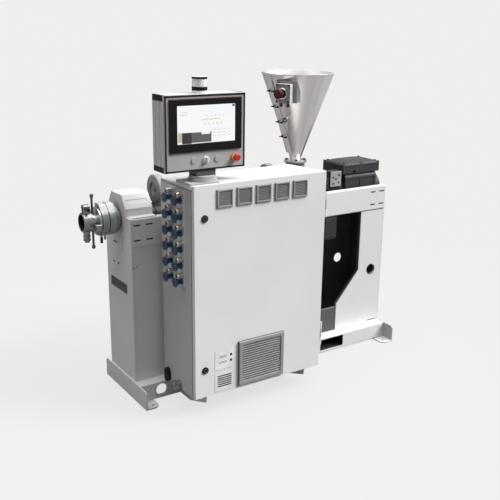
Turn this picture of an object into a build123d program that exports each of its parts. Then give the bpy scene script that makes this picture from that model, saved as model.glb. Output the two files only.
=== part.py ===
from build123d import *

import os

# Single screw plastic extruder with a hinged control cabinet and a swivelling operator panel.
# The origin lies on the floor under the left foot plate, half way between its ends. X runs along the
# screw from the outlet to the drive, Y from the cabinet door to the back, and Z up. Sizes are in mm.

os.makedirs("parts", exist_ok=True)

# Running gaps and small forms that many pieces share
joint_gap = 0.3
swing_gap = 8.0
sheet = 4.0
plate = 6.0
small_bend = 6.0
bolt_hole_r = 9.0

# Base frame
base_left_x = -48.0
base_length = 1896.0
foot_half_depth = 283.0
foot_height = 113.0
foot_thick = 8.0
foot_flange = 91.0
foot_corner_r = 40.0
foot_front_chamfer = 14.0
foot_hole_inset = 34.0
rail_front_y = -195.0
rail_rear_y = 245.0
rail_depth = 92.0
rail_hole_r = 34.0
rail_hole_inset = 141.0
rail_hole_z = 64.0
rail_bolt_inset = 54.0
rail_bolt_z = 80.0
rail_foot_depth = 40.0
fork_pocket_inset = 474.0
fork_inner_w = 196.0
fork_inner_h = 76.0
fork_wall = 5.0
fork_mid_z = 63.0
fork_corner_r = 7.0

# Frame columns and beams
frame_front_y = -127.0
frame_rear_y = 215.0
frame_left_inset = 8.0
frame_right_inset = 6.0
beam_depth = 40.0
beam_bottom_z = 928.0
beam_height = 160.0
beam_proud = 6.0
beam_slot_l = 42.0
beam_slot_h = 9.0
beam_slot_pitch = 77.0
beam_slot_rows = 86.0
left_sign_inset = 76.0
right_sign_inset = 72.0
pedestal_length = 300.0
end_plate_thick = 10.0
window_mid_y = 58.0
window_mid_z = 660.0
window_w = 226.0
window_h = 62.0
window_depth = 60.0
oval_mid_y = -14.0
oval_mid_z = 925.0
oval_w = 26.0
oval_h = 84.0
oval_depth = 3.0
leg_upper_w = 204.0
leg_lower_w = 387.0
leg_lip = 26.0
leg_knee_z = 516.0
leg_toe_z = 304.0
leg_hole_inset = 94.0
leg_hole_z = 506.0
leg_hole_r = 31.0
leg_slot_w = 84.0
leg_slot_h = 6.0
leg_slot_inset = 8.0
leg_slot_up = 9.0
bay_w = 542.0
bay_panel_back = 15.0
junction_w = 105.0
junction_d = 90.0
junction_h = 156.0
junction_inset = 25.0
drive_deck_thick = 12.0
drive_deck_w = 728.0

# Screw axis and barrel
axis_y = 50.0
axis_z = 1060.0
barrel_r = 48.0
barrel_bore_r = 22.5
nose_r = 42.0
flange_r = 80.0
flange_thick = 13.0
collar_r = 82.0
collar_neck_r = 58.0
collar_neck = 20.0
collar_thick = 12.0
jacket_r = 63.0
jacket_start = 180.0
jacket_rib_pitch = 48.0
jacket_groove = 14.0
jacket_groove_depth = 6.0

# Heater bands, clamp and swing bolts at the outlet
band_r = 86.0
band_length = 40.0
band_gap = 4.0
band_plate_gap = 34.0
band_box_d = 96.0
band_box_top = 98.0
band_box_slope = 40.0
stub_r = 7.0
stub_length = 36.0
clamp_r = 55.0
clamp_bore_r = 46.0
clamp_length = 56.0
clamp_hold = 14.0
rod_room = 24.0
nut_stack_r = 20.0
nut_thick = 13.0
nut_pitch = 20.0
nut_count = 3
lug_w = 36.0
lug_h = 44.0
lug_split = 12.0
rod_r = 6.5
rod_gap = 9.0
rod_reach = 146.0
rod_knob_r = 10.0
sensor_block_w = 32.0
sensor_block_h = 38.0

# Barrel cover
cover_half_w = 116.0
cover_top_half_w = 68.0
cover_shoulder = 46.0
cover_height = 117.0
cover_right_inset = 10.0
grip_length = 124.0
grip_w = 20.0
grip_depth = 2.5

# Blowers above the barrel
blower_r = 82.0
blower_width = 46.0
blower_mid_z = 1206.0
blower_duct_w = 36.0
blower_duct_d = 60.0
blower_inlet_r = 40.0
blower_inlet_depth = 12.0
blower_motor_r = 34.0
blower_motor_l = 34.0
front_blower_x = 210.0
rear_blower_x = 988.0
rear_blower_drop = 8.0

# Feed section and drive
hopper_inset = 644.0
feed_half_w = 80.0
feed_half_d = 88.0
feed_height = 186.0
throat_half = 62.0
throat_bore_r = 27.0
throat_flange_thick = 8.0
gearbox_w = 222.0
gearbox_half_d = 98.0
gearbox_h = 277.0
gearbox_plate_w = 90.0
gearbox_plate_h = 99.0
gearbox_plate_up = 164.0
gearbox_plate_proud = 4.0
motor_gap = 34.0
motor_body_l = 268.0
motor_half_d = 112.0
motor_h = 232.0
motor_panel_depth = 4.0
motor_rib_w = 16.0
motor_corner_r = 24.0
motor_cowl_l = 60.0
motor_cowl_r = 104.0
motor_box_l = 320.0
motor_box_w = 215.0
motor_box_h = 72.0
motor_box_shift = 4.0
motor_box_corner = 22.0

# Hopper and level sensor
hopper_top_z = 1836.0
hopper_bottom_z = 1296.0
hopper_top_r = 224.0
hopper_bottom_r = 30.0
hopper_wall = 3.0
hopper_rim = 6.0
hopper_flange_r = 72.0
hopper_flange_thick = 8.0
hopper_neck_h = 6.0
sight_turn = 180.0
sight_w = 56.0
sight_thick = 6.0
sight_bottom = 40.0
sight_top = 20.0
sensor_drop = 110.0
sensor_turn = 197.0
sensor_shift = 82.0
sensor_w = 104.0
sensor_h = 112.0
sensor_d = 36.0
sensor_plate_w = 152.0
sensor_plate_h = 128.0
sensor_plate_lift = 10.0
sensor_plate_thick = 6.0
sensor_standoff_w = 88.0
sensor_standoff_l = 80.0
sensor_knob_r = 24.0
sensor_knob_l = 56.0
sensor_gland_r = 10.0
sensor_gland_l = 24.0

# Cabinet
cabinet_left_x = 134.0
cabinet_w = 864.0
cabinet_back_y = -159.0
cabinet_bottom_z = 127.0
cabinet_shell_h = 1175.0
opening_flange = 18.0
door_front_y = -526.0
door_thick = 24.0
door_h = 1200.0
door_return = 14.0
roof_thick = 8.0
roof_fall = 16.0
stay_r = 22.0
stay_inset = 162.0
gusset_inset = 85.0
gusset_thick = 8.0
gusset_foot = 116.0
mount_plate_inset = 40.0
mount_plate_thick = 3.0
mount_plate_gap = 26.0
hinge_knuckle_r = 8.0
hinge_pin_r = 4.0
hinge_knuckle_h = 46.0
hinge_axis_out = 11.0
hinge_leaf = 5.0
lower_hinge_z = 330.0
upper_hinge_z = 1130.0

# Door fittings
vent_size = 98.0
vent_frame = 9.0
vent_pitch = 123.0
vent_inset = 185.0
vent_drop = 78.0
vent_count = 5
vent_proud = 10.0
vent_recess = 4.0
vent_slats = 9
grille_w = 310.0
grille_h = 270.0
grille_inset = 432.0
grille_up = 153.0
grille_proud = 16.0
grille_frame = 22.0
grille_slats = 16
slat_thick = 2.5
slat_rise = 10.0
lock_inset = 64.0
upper_lock_z = 1152.0
lower_lock_z = 290.0
lock_r = 20.0
lock_proud = 7.0
lock_hole_r = 11.0

# Fittings on the cabinet's left side
plug_count = 6
plug_pitch = 89.6
plug_first_z = 1232.0
plug_rear_y = -283.0
plug_front_y = -393.0
plug_strip_w = 78.0
plug_strip_thick = 6.0
plug_cap_r = 27.0
plug_cap_l = 22.0
plug_neck_r = 19.0
plug_reach = 50.0
small_plug_r = 16.0
small_plug_up = 35.0
small_plug_reach = 20.0
gland_y = -214.0
gland_z = 160.0
gland_w = 48.0
gland_h = 86.0
gland_proud = 22.0
valve_y = -345.0
valve_z = 150.0
valve_r = 13.0
valve_reach = 46.0

# Operator panel
panel_mid_x = 250.0
panel_front_y = -454.0
panel_depth = 130.0
panel_w = 476.0
panel_bottom_z = 1391.0
panel_h = 390.0
panel_lip = 10.0
panel_corner_h = 30.0
panel_corner_w = 14.0
swivel_y = -415.0
swivel_r = 78.0
swivel_disc = 14.0
swivel_foot_x = 220.0
swivel_foot_w = 172.0
swivel_foot_thick = 8.0
neck_w = 116.0
neck_d = 80.0
bezel_w = 424.0
bezel_h = 268.0
bezel_up = 235.0
bezel_proud = 9.0
screen_w = 342.0
screen_h = 194.0
screen_rise = 6.0
button_up = 56.0
button_r = 14.0
left_button_x = -75.0
right_button_x = 65.0
estop_x = 174.0
estop_plate_r = 23.0
estop_head_r = 20.0
selector_x = -1.0
selector_r = 17.0
beacon_r = 40.0
beacon_h = 83.0
beacon_foot = 20.0
beacon_cap = 10.0

# Shared places
base_right_x = base_left_x + base_length
base_mid_x = base_left_x + base_length / 2
rail_top_z = foot_height
frame_left_x = base_left_x + frame_left_inset
frame_right_x = base_right_x - frame_right_inset
pedestal_right_x = frame_left_x + pedestal_length
leg_right_x = frame_right_x - plate
leg_hole_x = frame_right_x - leg_hole_inset
bay_left_x = frame_right_x - bay_w
bay_panel_y = frame_rear_y - bay_panel_back
beam_top_z = beam_bottom_z + beam_height
deck_top_z = beam_bottom_z + drive_deck_thick
hopper_x = base_right_x - hopper_inset
feed_left_x = hopper_x - feed_half_w
feed_right_x = hopper_x + feed_half_w
feed_top_z = deck_top_z + feed_height
gearbox_right_x = feed_right_x + gearbox_w
gearbox_top_z = deck_top_z + gearbox_h
motor_left_x = gearbox_right_x + motor_gap
motor_body_right_x = motor_left_x + motor_body_l
motor_top_z = deck_top_z + motor_h
motor_axis_z = deck_top_z + motor_h / 2
band_right_x = frame_left_x - band_plate_gap
flange_right_x = band_right_x - 2 * band_length - band_gap - 1
flange_left_x = flange_right_x - flange_thick
clamp_right_x = flange_left_x - rod_room
clamp_left_x = clamp_right_x - clamp_length
rod_x_mid = flange_left_x - rod_r - rod_gap
cover_shoulder_z = beam_top_z + cover_shoulder
cover_top_z = beam_top_z + cover_height
cover_left_x = frame_left_x + end_plate_thick
cabinet_right_x = cabinet_left_x + cabinet_w
cabinet_mid_x = cabinet_left_x + cabinet_w / 2
cabinet_shell_top_z = cabinet_bottom_z + cabinet_shell_h
cover_right_x = cabinet_left_x - cover_right_inset
door_top_z = cabinet_bottom_z + door_h
door_back_y = door_front_y + door_thick
shell_front_y = door_back_y + swing_gap
roof_back_z = cabinet_shell_top_z + roof_thick
roof_front_z = roof_back_z + roof_fall
hinge_x = cabinet_right_x + hinge_axis_out
hinge_y = door_front_y + door_thick / 2
hinge_zs = (lower_hinge_z, upper_hinge_z)
lock_zs = (upper_lock_z, lower_lock_z)
lock_x = cabinet_left_x + lock_inset
vent_first_x = cabinet_left_x + vent_inset
vent_mid_z = door_top_z - vent_drop
grille_mid_x = cabinet_left_x + grille_inset
grille_mid_z = cabinet_bottom_z + grille_up
panel_top_z = panel_bottom_z + panel_h
panel_back_y = panel_front_y + panel_depth
bezel_mid_z = panel_bottom_z + bezel_up
button_z = panel_bottom_z + button_up
swivel_foot_d = 2 * (swivel_y - shell_front_y)
throat_top_z = hopper_bottom_z - hopper_neck_h - hopper_flange_thick
sensor_z = hopper_top_z - sensor_drop


# Helpers
def save(piece, label):
    """Names one piece and writes it to its own file."""
    piece.label = label
    export_step(piece, f"parts/{label}.step")


def span(x0, x1, y0, y1, z0, z1, mode=Mode.ADD):
    """Adds a block between two corners to the open part."""
    with Locations(((x0 + x1) / 2, (y0 + y1) / 2, (z0 + z1) / 2)):
        Box(abs(x1 - x0), abs(y1 - y0), abs(z1 - z0), mode=mode)


def rod_x(x0, x1, y, z, r, mode=Mode.ADD):
    """Adds a cylinder along X to the open part."""
    with Locations(Location(((x0 + x1) / 2, y, z), (0, 90, 0))):
        Cylinder(r, abs(x1 - x0), mode=mode)


def rod_y(x, y0, y1, z, r, mode=Mode.ADD):
    """Adds a cylinder along Y to the open part."""
    with Locations(Location((x, (y0 + y1) / 2, z), (90, 0, 0))):
        Cylinder(r, abs(y1 - y0), mode=mode)


def rod_z(x, y, z0, z1, r, mode=Mode.ADD):
    """Adds a cylinder along Z to the open part."""
    with Locations((x, y, (z0 + z1) / 2)):
        Cylinder(r, abs(z1 - z0), mode=mode)


# Foot plates
def foot_plate(side):
    """Makes an angle section foot across one end of the base."""
    outer = base_mid_x + side * base_length / 2
    web_in = outer - side * foot_thick
    flange_in = outer - side * foot_flange
    with BuildPart() as foot:
        span(outer, web_in, -foot_half_depth, foot_half_depth, 0, foot_height)
        span(outer, flange_in, -foot_half_depth, foot_half_depth, 0, foot_thick)
        toes = foot.edges().filter_by(Axis.Z).group_by(Axis.X)[-1 if side < 0 else 0]
        fillet(toes, foot_corner_r)
        tops = foot.edges().filter_by(Axis.X).group_by(Axis.Z)[-1]
        chamfer(tops, foot_front_chamfer)
        for end in (-1, 1):
            rod_z(flange_in + side * foot_hole_inset, end * (foot_half_depth - foot_hole_inset), 0, foot_thick,
                  bolt_hole_r, mode=Mode.SUBTRACT)
    return foot.part


save(foot_plate(-1), "left_foot_plate")
save(foot_plate(1), "right_foot_plate")


# Base rails with their openings for the fork tubes
def base_rail(face_y, inward):
    """Makes a channel rail whose flanges point to the inside of the machine."""
    web_y = face_y + inward * plate
    tip_y = face_y + inward * rail_depth
    left = base_left_x + foot_thick
    right = base_right_x - foot_thick
    tube_w = fork_inner_w + 2 * fork_wall
    tube_h = fork_inner_h + 2 * fork_wall
    with BuildPart() as rail:
        span(left, right, face_y, tip_y, foot_thick, rail_top_z)
        face_edges = rail.edges().filter_by(Axis.X).group_by(Axis.Y)[0 if inward > 0 else -1]
        fillet(face_edges, small_bend)
        span(left, right, web_y, tip_y, foot_thick + plate, rail_top_z - plate, mode=Mode.SUBTRACT)
        span(left, right, face_y + inward * rail_foot_depth, tip_y, foot_thick, foot_thick + plate,
             mode=Mode.SUBTRACT)
        hole_x = base_left_x + rail_hole_inset
        rod_y(hole_x, face_y, web_y, rail_hole_z, rail_hole_r, mode=Mode.SUBTRACT)
        for side in (-1, 1):
            fork_x = base_mid_x + side * fork_pocket_inset
            span(fork_x - tube_w / 2, fork_x + tube_w / 2, face_y, web_y,
                 fork_mid_z - tube_h / 2, fork_mid_z + tube_h / 2, mode=Mode.SUBTRACT)
            bolt_x = base_mid_x + side * (base_length / 2 - rail_bolt_inset)
            rod_y(bolt_x, face_y, web_y, rail_bolt_z, bolt_hole_r / 2, mode=Mode.SUBTRACT)
    return rail.part


def fork_tube(side):
    """Makes a rectangular tube for a truck fork across both rails."""
    with BuildPart() as tube:
        with BuildSketch(Plane.XZ.offset(-rail_front_y)):
            with Locations((base_mid_x + side * fork_pocket_inset, fork_mid_z)):
                Rectangle(fork_inner_w + 2 * fork_wall, fork_inner_h + 2 * fork_wall)
                RectangleRounded(fork_inner_w, fork_inner_h, fork_corner_r, mode=Mode.SUBTRACT)
        extrude(amount=-(rail_rear_y - rail_front_y))
    return tube.part


save(base_rail(rail_front_y, 1), "front_base_rail")
save(base_rail(rail_rear_y, -1), "rear_base_rail")
save(fork_tube(-1), "left_fork_tube")
save(fork_tube(1), "right_fork_tube")

# Left column with its end plate
with BuildPart() as pedestal:
    span(cover_left_x, pedestal_right_x, frame_front_y + beam_proud, frame_rear_y - beam_proud,
         rail_top_z, beam_bottom_z)
    fillet(pedestal.edges().filter_by(Axis.Z), small_bend)
    span(cover_left_x, cover_left_x + window_depth, window_mid_y - window_w / 2, window_mid_y + window_w / 2,
         window_mid_z - window_h / 2, window_mid_z + window_h / 2, mode=Mode.SUBTRACT)
save(pedestal.part, "left_pedestal")


def hood_outline(inset):
    """Draws the hood's outline over the barrel, moved inward by a wall."""
    half = cover_half_w - inset
    slope_inset = inset * (cover_half_w - cover_top_half_w) / (cover_height - cover_shoulder)
    top_half = cover_top_half_w - slope_inset
    Polyline(
        (axis_y - half, beam_top_z),
        (axis_y - half, cover_shoulder_z - inset / 3),
        (axis_y - top_half, cover_top_z - inset),
        (axis_y + top_half, cover_top_z - inset),
        (axis_y + half, cover_shoulder_z - inset / 3),
        (axis_y + half, beam_top_z),
        close=True,
    )


with BuildPart() as end_plate:
    with BuildSketch(Plane.YZ.offset(frame_left_x)):
        with Locations(((frame_front_y + frame_rear_y) / 2, (rail_top_z + beam_top_z) / 2)):
            Rectangle(frame_rear_y - frame_front_y, beam_top_z - rail_top_z)
        with BuildLine():
            hood_outline(0)
        make_face()
        with Locations((window_mid_y, window_mid_z)):
            Rectangle(window_w, window_h, mode=Mode.SUBTRACT)
        with Locations((axis_y, axis_z)):
            Circle(jacket_r + 2, mode=Mode.SUBTRACT)
    extrude(amount=end_plate_thick)
    with BuildSketch(Plane.YZ.offset(frame_left_x)):
        with Locations((oval_mid_y, oval_mid_z)):
            SlotOverall(oval_h, oval_w, rotation=90)
    extrude(amount=oval_depth, mode=Mode.SUBTRACT)
save(end_plate.part, "column_end_plate")


# Top beams
def top_beam(face_y, inward):
    """Makes a rectangular tube beam along the machine, slotted beside its two sign places."""
    inner = face_y + inward * beam_depth
    mid_z = beam_bottom_z + beam_height / 2
    with BuildPart() as beam:
        with BuildSketch(Plane.YZ.offset(cover_left_x)):
            with Locations(((face_y + inner) / 2, mid_z)):
                RectangleRounded(beam_depth, beam_height, small_bend)
                RectangleRounded(beam_depth - 2 * plate, beam_height - 2 * plate, small_bend / 3,
                                 mode=Mode.SUBTRACT)
        extrude(amount=frame_right_x - cover_left_x)
        span(frame_right_x - plate, frame_right_x, face_y + inward * plate / 2, inner - inward * plate / 2,
             beam_bottom_z + plate / 2, beam_top_z - plate / 2)
        for sign_x in (frame_left_x + left_sign_inset, frame_right_x - right_sign_inset):
            for dx in (-beam_slot_pitch / 2, beam_slot_pitch / 2):
                for dz in (-beam_slot_rows / 2, beam_slot_rows / 2):
                    slot_x = sign_x + dx
                    span(slot_x - beam_slot_l / 2, slot_x + beam_slot_l / 2, face_y, face_y + inward * plate,
                         mid_z - beam_slot_h / 2 + dz, mid_z + beam_slot_h / 2 + dz, mode=Mode.SUBTRACT)
    return beam.part


save(top_beam(frame_front_y, 1), "front_top_beam")
save(top_beam(frame_rear_y, -1), "rear_top_beam")


# Right leg and the bay beside it
def leg_outline(shift):
    """Draws the stepped outline of the right leg, moved along X."""
    Polyline(
        (frame_right_x - leg_lower_w + shift, rail_top_z),
        (frame_right_x - leg_lower_w + shift, leg_toe_z),
        (frame_right_x - leg_upper_w + shift, leg_knee_z),
        (frame_right_x - leg_upper_w + shift, beam_bottom_z),
        (leg_right_x + shift, beam_bottom_z),
        (leg_right_x + shift, rail_top_z),
        close=True,
    )


with BuildPart() as leg_panel:
    with BuildSketch(Plane.XZ.offset(-frame_front_y)):
        with BuildLine():
            leg_outline(0)
        make_face()
        with Locations((leg_hole_x, leg_hole_z)):
            Circle(leg_hole_r, mode=Mode.SUBTRACT)
    extrude(amount=-plate)
    span(leg_right_x - leg_slot_inset - leg_slot_w, leg_right_x - leg_slot_inset, frame_front_y,
         frame_front_y + plate, rail_top_z + leg_slot_up, rail_top_z + leg_slot_up + leg_slot_h,
         mode=Mode.SUBTRACT)
    with BuildSketch(Plane.XZ.offset(-frame_front_y)):
        with BuildLine():
            leg_outline(0)
        make_face()
        with BuildLine():
            leg_outline(sheet)
        make_face(mode=Mode.SUBTRACT)
    extrude(amount=-leg_lip)
save(leg_panel.part, "right_leg_panel")

with BuildPart() as side_panel:
    span(leg_right_x, frame_right_x, frame_front_y, frame_rear_y, rail_top_z, beam_bottom_z)
    fillet(side_panel.edges().filter_by(Axis.X), small_bend)
save(side_panel.part, "right_side_panel")

with BuildPart() as bay_panel:
    span(bay_left_x, leg_right_x, bay_panel_y, bay_panel_y + plate, rail_top_z, beam_bottom_z)
    rod_y(leg_hole_x - 22, bay_panel_y, bay_panel_y + plate, leg_hole_z, leg_hole_r + 3, mode=Mode.SUBTRACT)
save(bay_panel.part, "bay_back_panel")

with BuildPart() as junction_box:
    junction_left_x = bay_left_x + junction_inset
    junction_front_y = frame_front_y + beam_proud
    span(junction_left_x, junction_left_x + junction_w, junction_front_y, junction_front_y + junction_d,
         beam_bottom_z - junction_h, beam_bottom_z)
    chamfer(junction_box.edges().filter_by(Axis.Y), small_bend)
    rod_z(junction_left_x + junction_w / 3, junction_front_y + junction_d / 2,
          beam_bottom_z - junction_h - 2 * bolt_hole_r, beam_bottom_z - junction_h, 1.2 * bolt_hole_r)
save(junction_box.part, "junction_box")

with BuildPart() as drive_deck:
    span(leg_right_x - drive_deck_w, leg_right_x, frame_front_y + beam_depth, frame_rear_y - beam_depth,
         beam_bottom_z, deck_top_z)
save(drive_deck.part, "drive_deck")

# Barrel with its end flange and nose, and the collar against the end plate
with BuildPart() as barrel:
    with BuildSketch(Plane.XZ.offset(-axis_y)):
        with BuildLine():
            Polyline(
                (clamp_right_x - clamp_hold, axis_z + barrel_bore_r),
                (clamp_right_x - clamp_hold, axis_z + nose_r),
                (flange_left_x, axis_z + nose_r),
                (flange_left_x, axis_z + flange_r),
                (flange_right_x, axis_z + flange_r),
                (flange_right_x, axis_z + barrel_r),
                (feed_left_x, axis_z + barrel_r),
                (feed_left_x, axis_z + barrel_bore_r),
                close=True,
            )
        make_face()
    revolve(axis=Axis((0, axis_y, axis_z), (1, 0, 0)))
    chamfer(barrel.edges().filter_by(GeomType.CIRCLE).group_by(SortBy.RADIUS)[-1], 2)
save(barrel.part, "barrel")

with BuildPart() as collar:
    collar_left_x = frame_left_x - collar_neck - collar_thick
    rod_x(collar_left_x, collar_left_x + collar_thick, axis_y, axis_z, collar_r)
    chamfer(collar.faces().sort_by(Axis.X)[0].edges(), 2)
    rod_x(collar_left_x, frame_left_x, axis_y, axis_z, collar_neck_r)
    rod_x(collar_left_x, frame_left_x, axis_y, axis_z, barrel_r, mode=Mode.SUBTRACT)
save(collar.part, "barrel_collar")

with BuildPart() as jacket:
    jacket_left_x = frame_left_x + jacket_start
    rod_x(jacket_left_x, feed_left_x, axis_y, axis_z, jacket_r)
    groove_count = int((feed_left_x - jacket_left_x) // jacket_rib_pitch)
    for i in range(groove_count):
        groove_x = jacket_left_x + (i + 0.5) * jacket_rib_pitch
        rod_x(groove_x, groove_x + jacket_groove, axis_y, axis_z, jacket_r, mode=Mode.SUBTRACT)
        rod_x(groove_x, groove_x + jacket_groove, axis_y, axis_z, jacket_r - jacket_groove_depth)
    rod_x(jacket_left_x, feed_left_x, axis_y, axis_z, barrel_r, mode=Mode.SUBTRACT)
save(jacket.part, "barrel_jacket")


# Heater bands
def heater_band(x1, side):
    """Makes one clamped heater band with its sloped terminal cover on top and a stub below on one side."""
    x0 = x1 - band_length
    cover_back_y = axis_y + band_box_d / 3
    cover_front_y = cover_back_y - band_box_d
    cover_z = axis_z + band_box_top
    with BuildPart() as band:
        rod_x(x0, x1, axis_y, axis_z, band_r)
        chamfer(band.edges().filter_by(GeomType.CIRCLE), 2)
        with BuildSketch(Plane.YZ.offset(x0)):
            with BuildLine():
                Polyline(
                    (cover_back_y, axis_z + band_r / 2),
                    (cover_back_y, cover_z),
                    (cover_front_y + band_box_slope, cover_z),
                    (cover_front_y, cover_z - band_box_slope),
                    (cover_front_y, axis_z + band_r / 2),
                    close=True,
                )
            make_face()
        extrude(amount=band_length)
        rod_z(x0 + stub_r + 1, axis_y + side * band_r / 3, axis_z - band_r - stub_length, axis_z - band_r / 2, stub_r)
        rod_x(x0, x1, axis_y, axis_z, barrel_r, mode=Mode.SUBTRACT)
    return band.part


save(heater_band(band_right_x, 1), "inner_heater_band")
save(heater_band(band_right_x - band_length - band_gap, -1), "outer_heater_band")

# Outlet clamp with its closing lugs above and its hinge stack below
with BuildPart() as clamp_ring:
    rod_x(clamp_left_x, clamp_right_x, axis_y, axis_z, clamp_r)
    chamfer(clamp_ring.edges().filter_by(GeomType.CIRCLE), 3)
    clamp_mid_x = (clamp_left_x + clamp_right_x) / 2
    lug_top_z = axis_z + clamp_r + lug_h
    span(clamp_mid_x - lug_w / 2, clamp_mid_x + lug_w / 2, axis_y - lug_w / 2, axis_y + lug_w / 2,
         axis_z, lug_top_z)
    chamfer(clamp_ring.edges().filter_by(Axis.X).group_by(Axis.Z)[-1], small_bend)
    span(clamp_mid_x - lug_w, clamp_mid_x + lug_w, axis_y - lug_split / 2, axis_y + lug_split / 2,
         axis_z, lug_top_z, mode=Mode.SUBTRACT)
    rod_y(clamp_mid_x, axis_y - lug_w, axis_y + lug_w, axis_z + clamp_r + lug_h / 2, rod_r)
    for side in (-1, 1):
        rod_y(clamp_mid_x, axis_y + side * lug_w / 2, axis_y + side * (lug_w / 2 + nut_thick / 2),
              axis_z + clamp_r + lug_h / 2, nut_thick)
    rod_z(clamp_mid_x, axis_y, axis_z - clamp_r - nut_pitch * nut_count, axis_z, nut_stack_r * 0.7)
    for i in range(nut_count):
        nut_z = axis_z - clamp_r + sheet - i * nut_pitch
        rod_z(clamp_mid_x, axis_y, nut_z - nut_thick, nut_z, nut_stack_r)
    rod_x(clamp_left_x, clamp_right_x - clamp_hold, axis_y, axis_z, clamp_bore_r, mode=Mode.SUBTRACT)
    rod_x(clamp_right_x - clamp_hold, clamp_right_x, axis_y, axis_z, nose_r, mode=Mode.SUBTRACT)
save(clamp_ring.part, "outlet_clamp")

with BuildPart() as melt_sensor:
    block_right_x = flange_left_x
    block_y = axis_y - clamp_r - rod_gap - sensor_block_w / 2
    span(block_right_x - sensor_block_w, block_right_x, block_y - sensor_block_w / 2, block_y + sensor_block_w / 2,
         axis_z - sensor_block_h, axis_z)
    chamfer(melt_sensor.edges().filter_by(Axis.X), 3)
save(melt_sensor.part, "melt_sensor")


def swing_bolt(side):
    """Makes one swing bolt that stands on the nose, with a nut and a knob at its end."""
    with BuildPart() as bolt:
        foot_z = axis_z + side * nose_r
        end_z = axis_z + side * rod_reach
        rod_z(rod_x_mid, axis_y, axis_z, end_z, rod_r)
        rod_z(rod_x_mid, axis_y, end_z - side * rod_knob_r, end_z + side * rod_knob_r, rod_knob_r)
        chamfer(bolt.edges().filter_by(GeomType.CIRCLE).group_by(SortBy.RADIUS)[-1], 2)
        rod_z(rod_x_mid, axis_y, foot_z, foot_z + side * nut_thick, rod_r + 2)
        rod_x(clamp_left_x, flange_left_x, axis_y, axis_z, nose_r, mode=Mode.SUBTRACT)
    return bolt.part


save(swing_bolt(1), "upper_swing_bolt")
save(swing_bolt(-1), "lower_swing_bolt")

# Barrel cover
with BuildPart() as cover:
    with BuildSketch(Plane.YZ.offset(cover_left_x)):
        with BuildLine():
            hood_outline(0)
        make_face()
        with BuildLine():
            hood_outline(sheet)
        make_face(mode=Mode.SUBTRACT)
    extrude(amount=cover_right_x - cover_left_x)
    for side in (-1, 1):
        edge_y = frame_front_y + beam_depth / 4 if side < 0 else frame_rear_y - beam_depth / 4
        span(cover_left_x, cover_right_x, edge_y, axis_y + side * (cover_half_w - sheet),
             beam_top_z, beam_top_z + sheet)
    slope_run = cover_half_w - cover_top_half_w
    slope_rise = cover_height - cover_shoulder
    grip_plane = Plane(
        origin=(cover_left_x + grip_length / 2 + small_bend, axis_y - cover_half_w + slope_run / 2,
                cover_shoulder_z + slope_rise / 2),
        x_dir=(1, 0, 0),
        z_dir=(0, -slope_rise, slope_run),
    )
    with BuildSketch(grip_plane):
        Rectangle(grip_length, grip_w)
    extrude(amount=-grip_depth, mode=Mode.SUBTRACT)
save(cover.part, "barrel_cover")


# Blowers
def blower(x, mid_z):
    """Makes one radial blower that stands on the barrel jacket."""
    left = x - blower_width / 2
    right = x + blower_width / 2
    with BuildPart() as fan:
        rod_x(left, right, axis_y, mid_z, blower_r)
        chamfer(fan.edges().filter_by(GeomType.CIRCLE), 5)
        span(x - blower_duct_w / 2, x + blower_duct_w / 2, axis_y - blower_duct_d / 2, axis_y + blower_duct_d / 2,
             axis_z, mid_z)
        span(x - blower_duct_w / 2, x + blower_duct_w / 2, axis_y, axis_y + blower_r - 5,
             axis_z + jacket_r + sheet, mid_z)
        rod_x(left, left + blower_inlet_depth, axis_y, mid_z, blower_inlet_r, mode=Mode.SUBTRACT)
        rod_x(left + 2, left + blower_inlet_depth, axis_y, mid_z, blower_inlet_r / 2)
        rod_x(right, right + blower_motor_l, axis_y, mid_z, blower_motor_r)
        chamfer(fan.faces().sort_by(Axis.X)[-1].edges(), 5)
        rod_x(left, right, axis_y, axis_z, jacket_r, mode=Mode.SUBTRACT)
    return fan.part


save(blower(front_blower_x, blower_mid_z), "front_blower")
save(blower(rear_blower_x, blower_mid_z - rear_blower_drop), "rear_blower")

# Feed housing with its throat
with BuildPart() as feed_housing:
    span(feed_left_x, feed_right_x, axis_y - feed_half_d, axis_y + feed_half_d, deck_top_z, feed_top_z)
    chamfer(feed_housing.edges().filter_by(Axis.X).group_by(Axis.Z)[-1], 10)
    with BuildSketch(Plane.XY.offset(feed_top_z)) as throat_foot:
        with Locations((hopper_x, axis_y)):
            RectangleRounded(2 * throat_half, 2 * throat_half, small_bend)
    with BuildSketch(Plane.XY.offset(throat_top_z - throat_flange_thick)) as throat_head:
        with Locations((hopper_x, axis_y)):
            RectangleRounded(1.4 * throat_half, 1.4 * throat_half, small_bend)
    loft()
    rod_z(hopper_x, axis_y, throat_top_z - throat_flange_thick, throat_top_z, hopper_flange_r)
    rod_z(hopper_x, axis_y, axis_z, throat_top_z, throat_bore_r, mode=Mode.SUBTRACT)
save(feed_housing.part, "feed_housing")

# Gearbox with its cover plate, neck towards the motor and foot flanges
with BuildPart() as gearbox:
    span(feed_right_x, gearbox_right_x, axis_y - gearbox_half_d, axis_y + gearbox_half_d, deck_top_z, gearbox_top_z)
    chamfer(gearbox.edges().filter_by(Axis.X).group_by(Axis.Z)[-1], 14)
    span(gearbox_right_x - gearbox_plate_w, gearbox_right_x, axis_y - gearbox_half_d - gearbox_plate_proud,
         axis_y - gearbox_half_d, deck_top_z + gearbox_plate_up,
         deck_top_z + gearbox_plate_up + gearbox_plate_h)
    rod_x(gearbox_right_x, motor_left_x, axis_y, motor_axis_z, motor_half_d - small_bend)
    for x in (feed_right_x + gearbox_w / 3, feed_right_x + 2 * gearbox_w / 3):
        for side in (-1, 1):
            span(x - plate, x + plate, axis_y + side * gearbox_half_d,
                 axis_y + side * (gearbox_half_d + gearbox_plate_proud), deck_top_z,
                 deck_top_z + gearbox_plate_up - small_bend)
save(gearbox.part, "gearbox")

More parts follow.
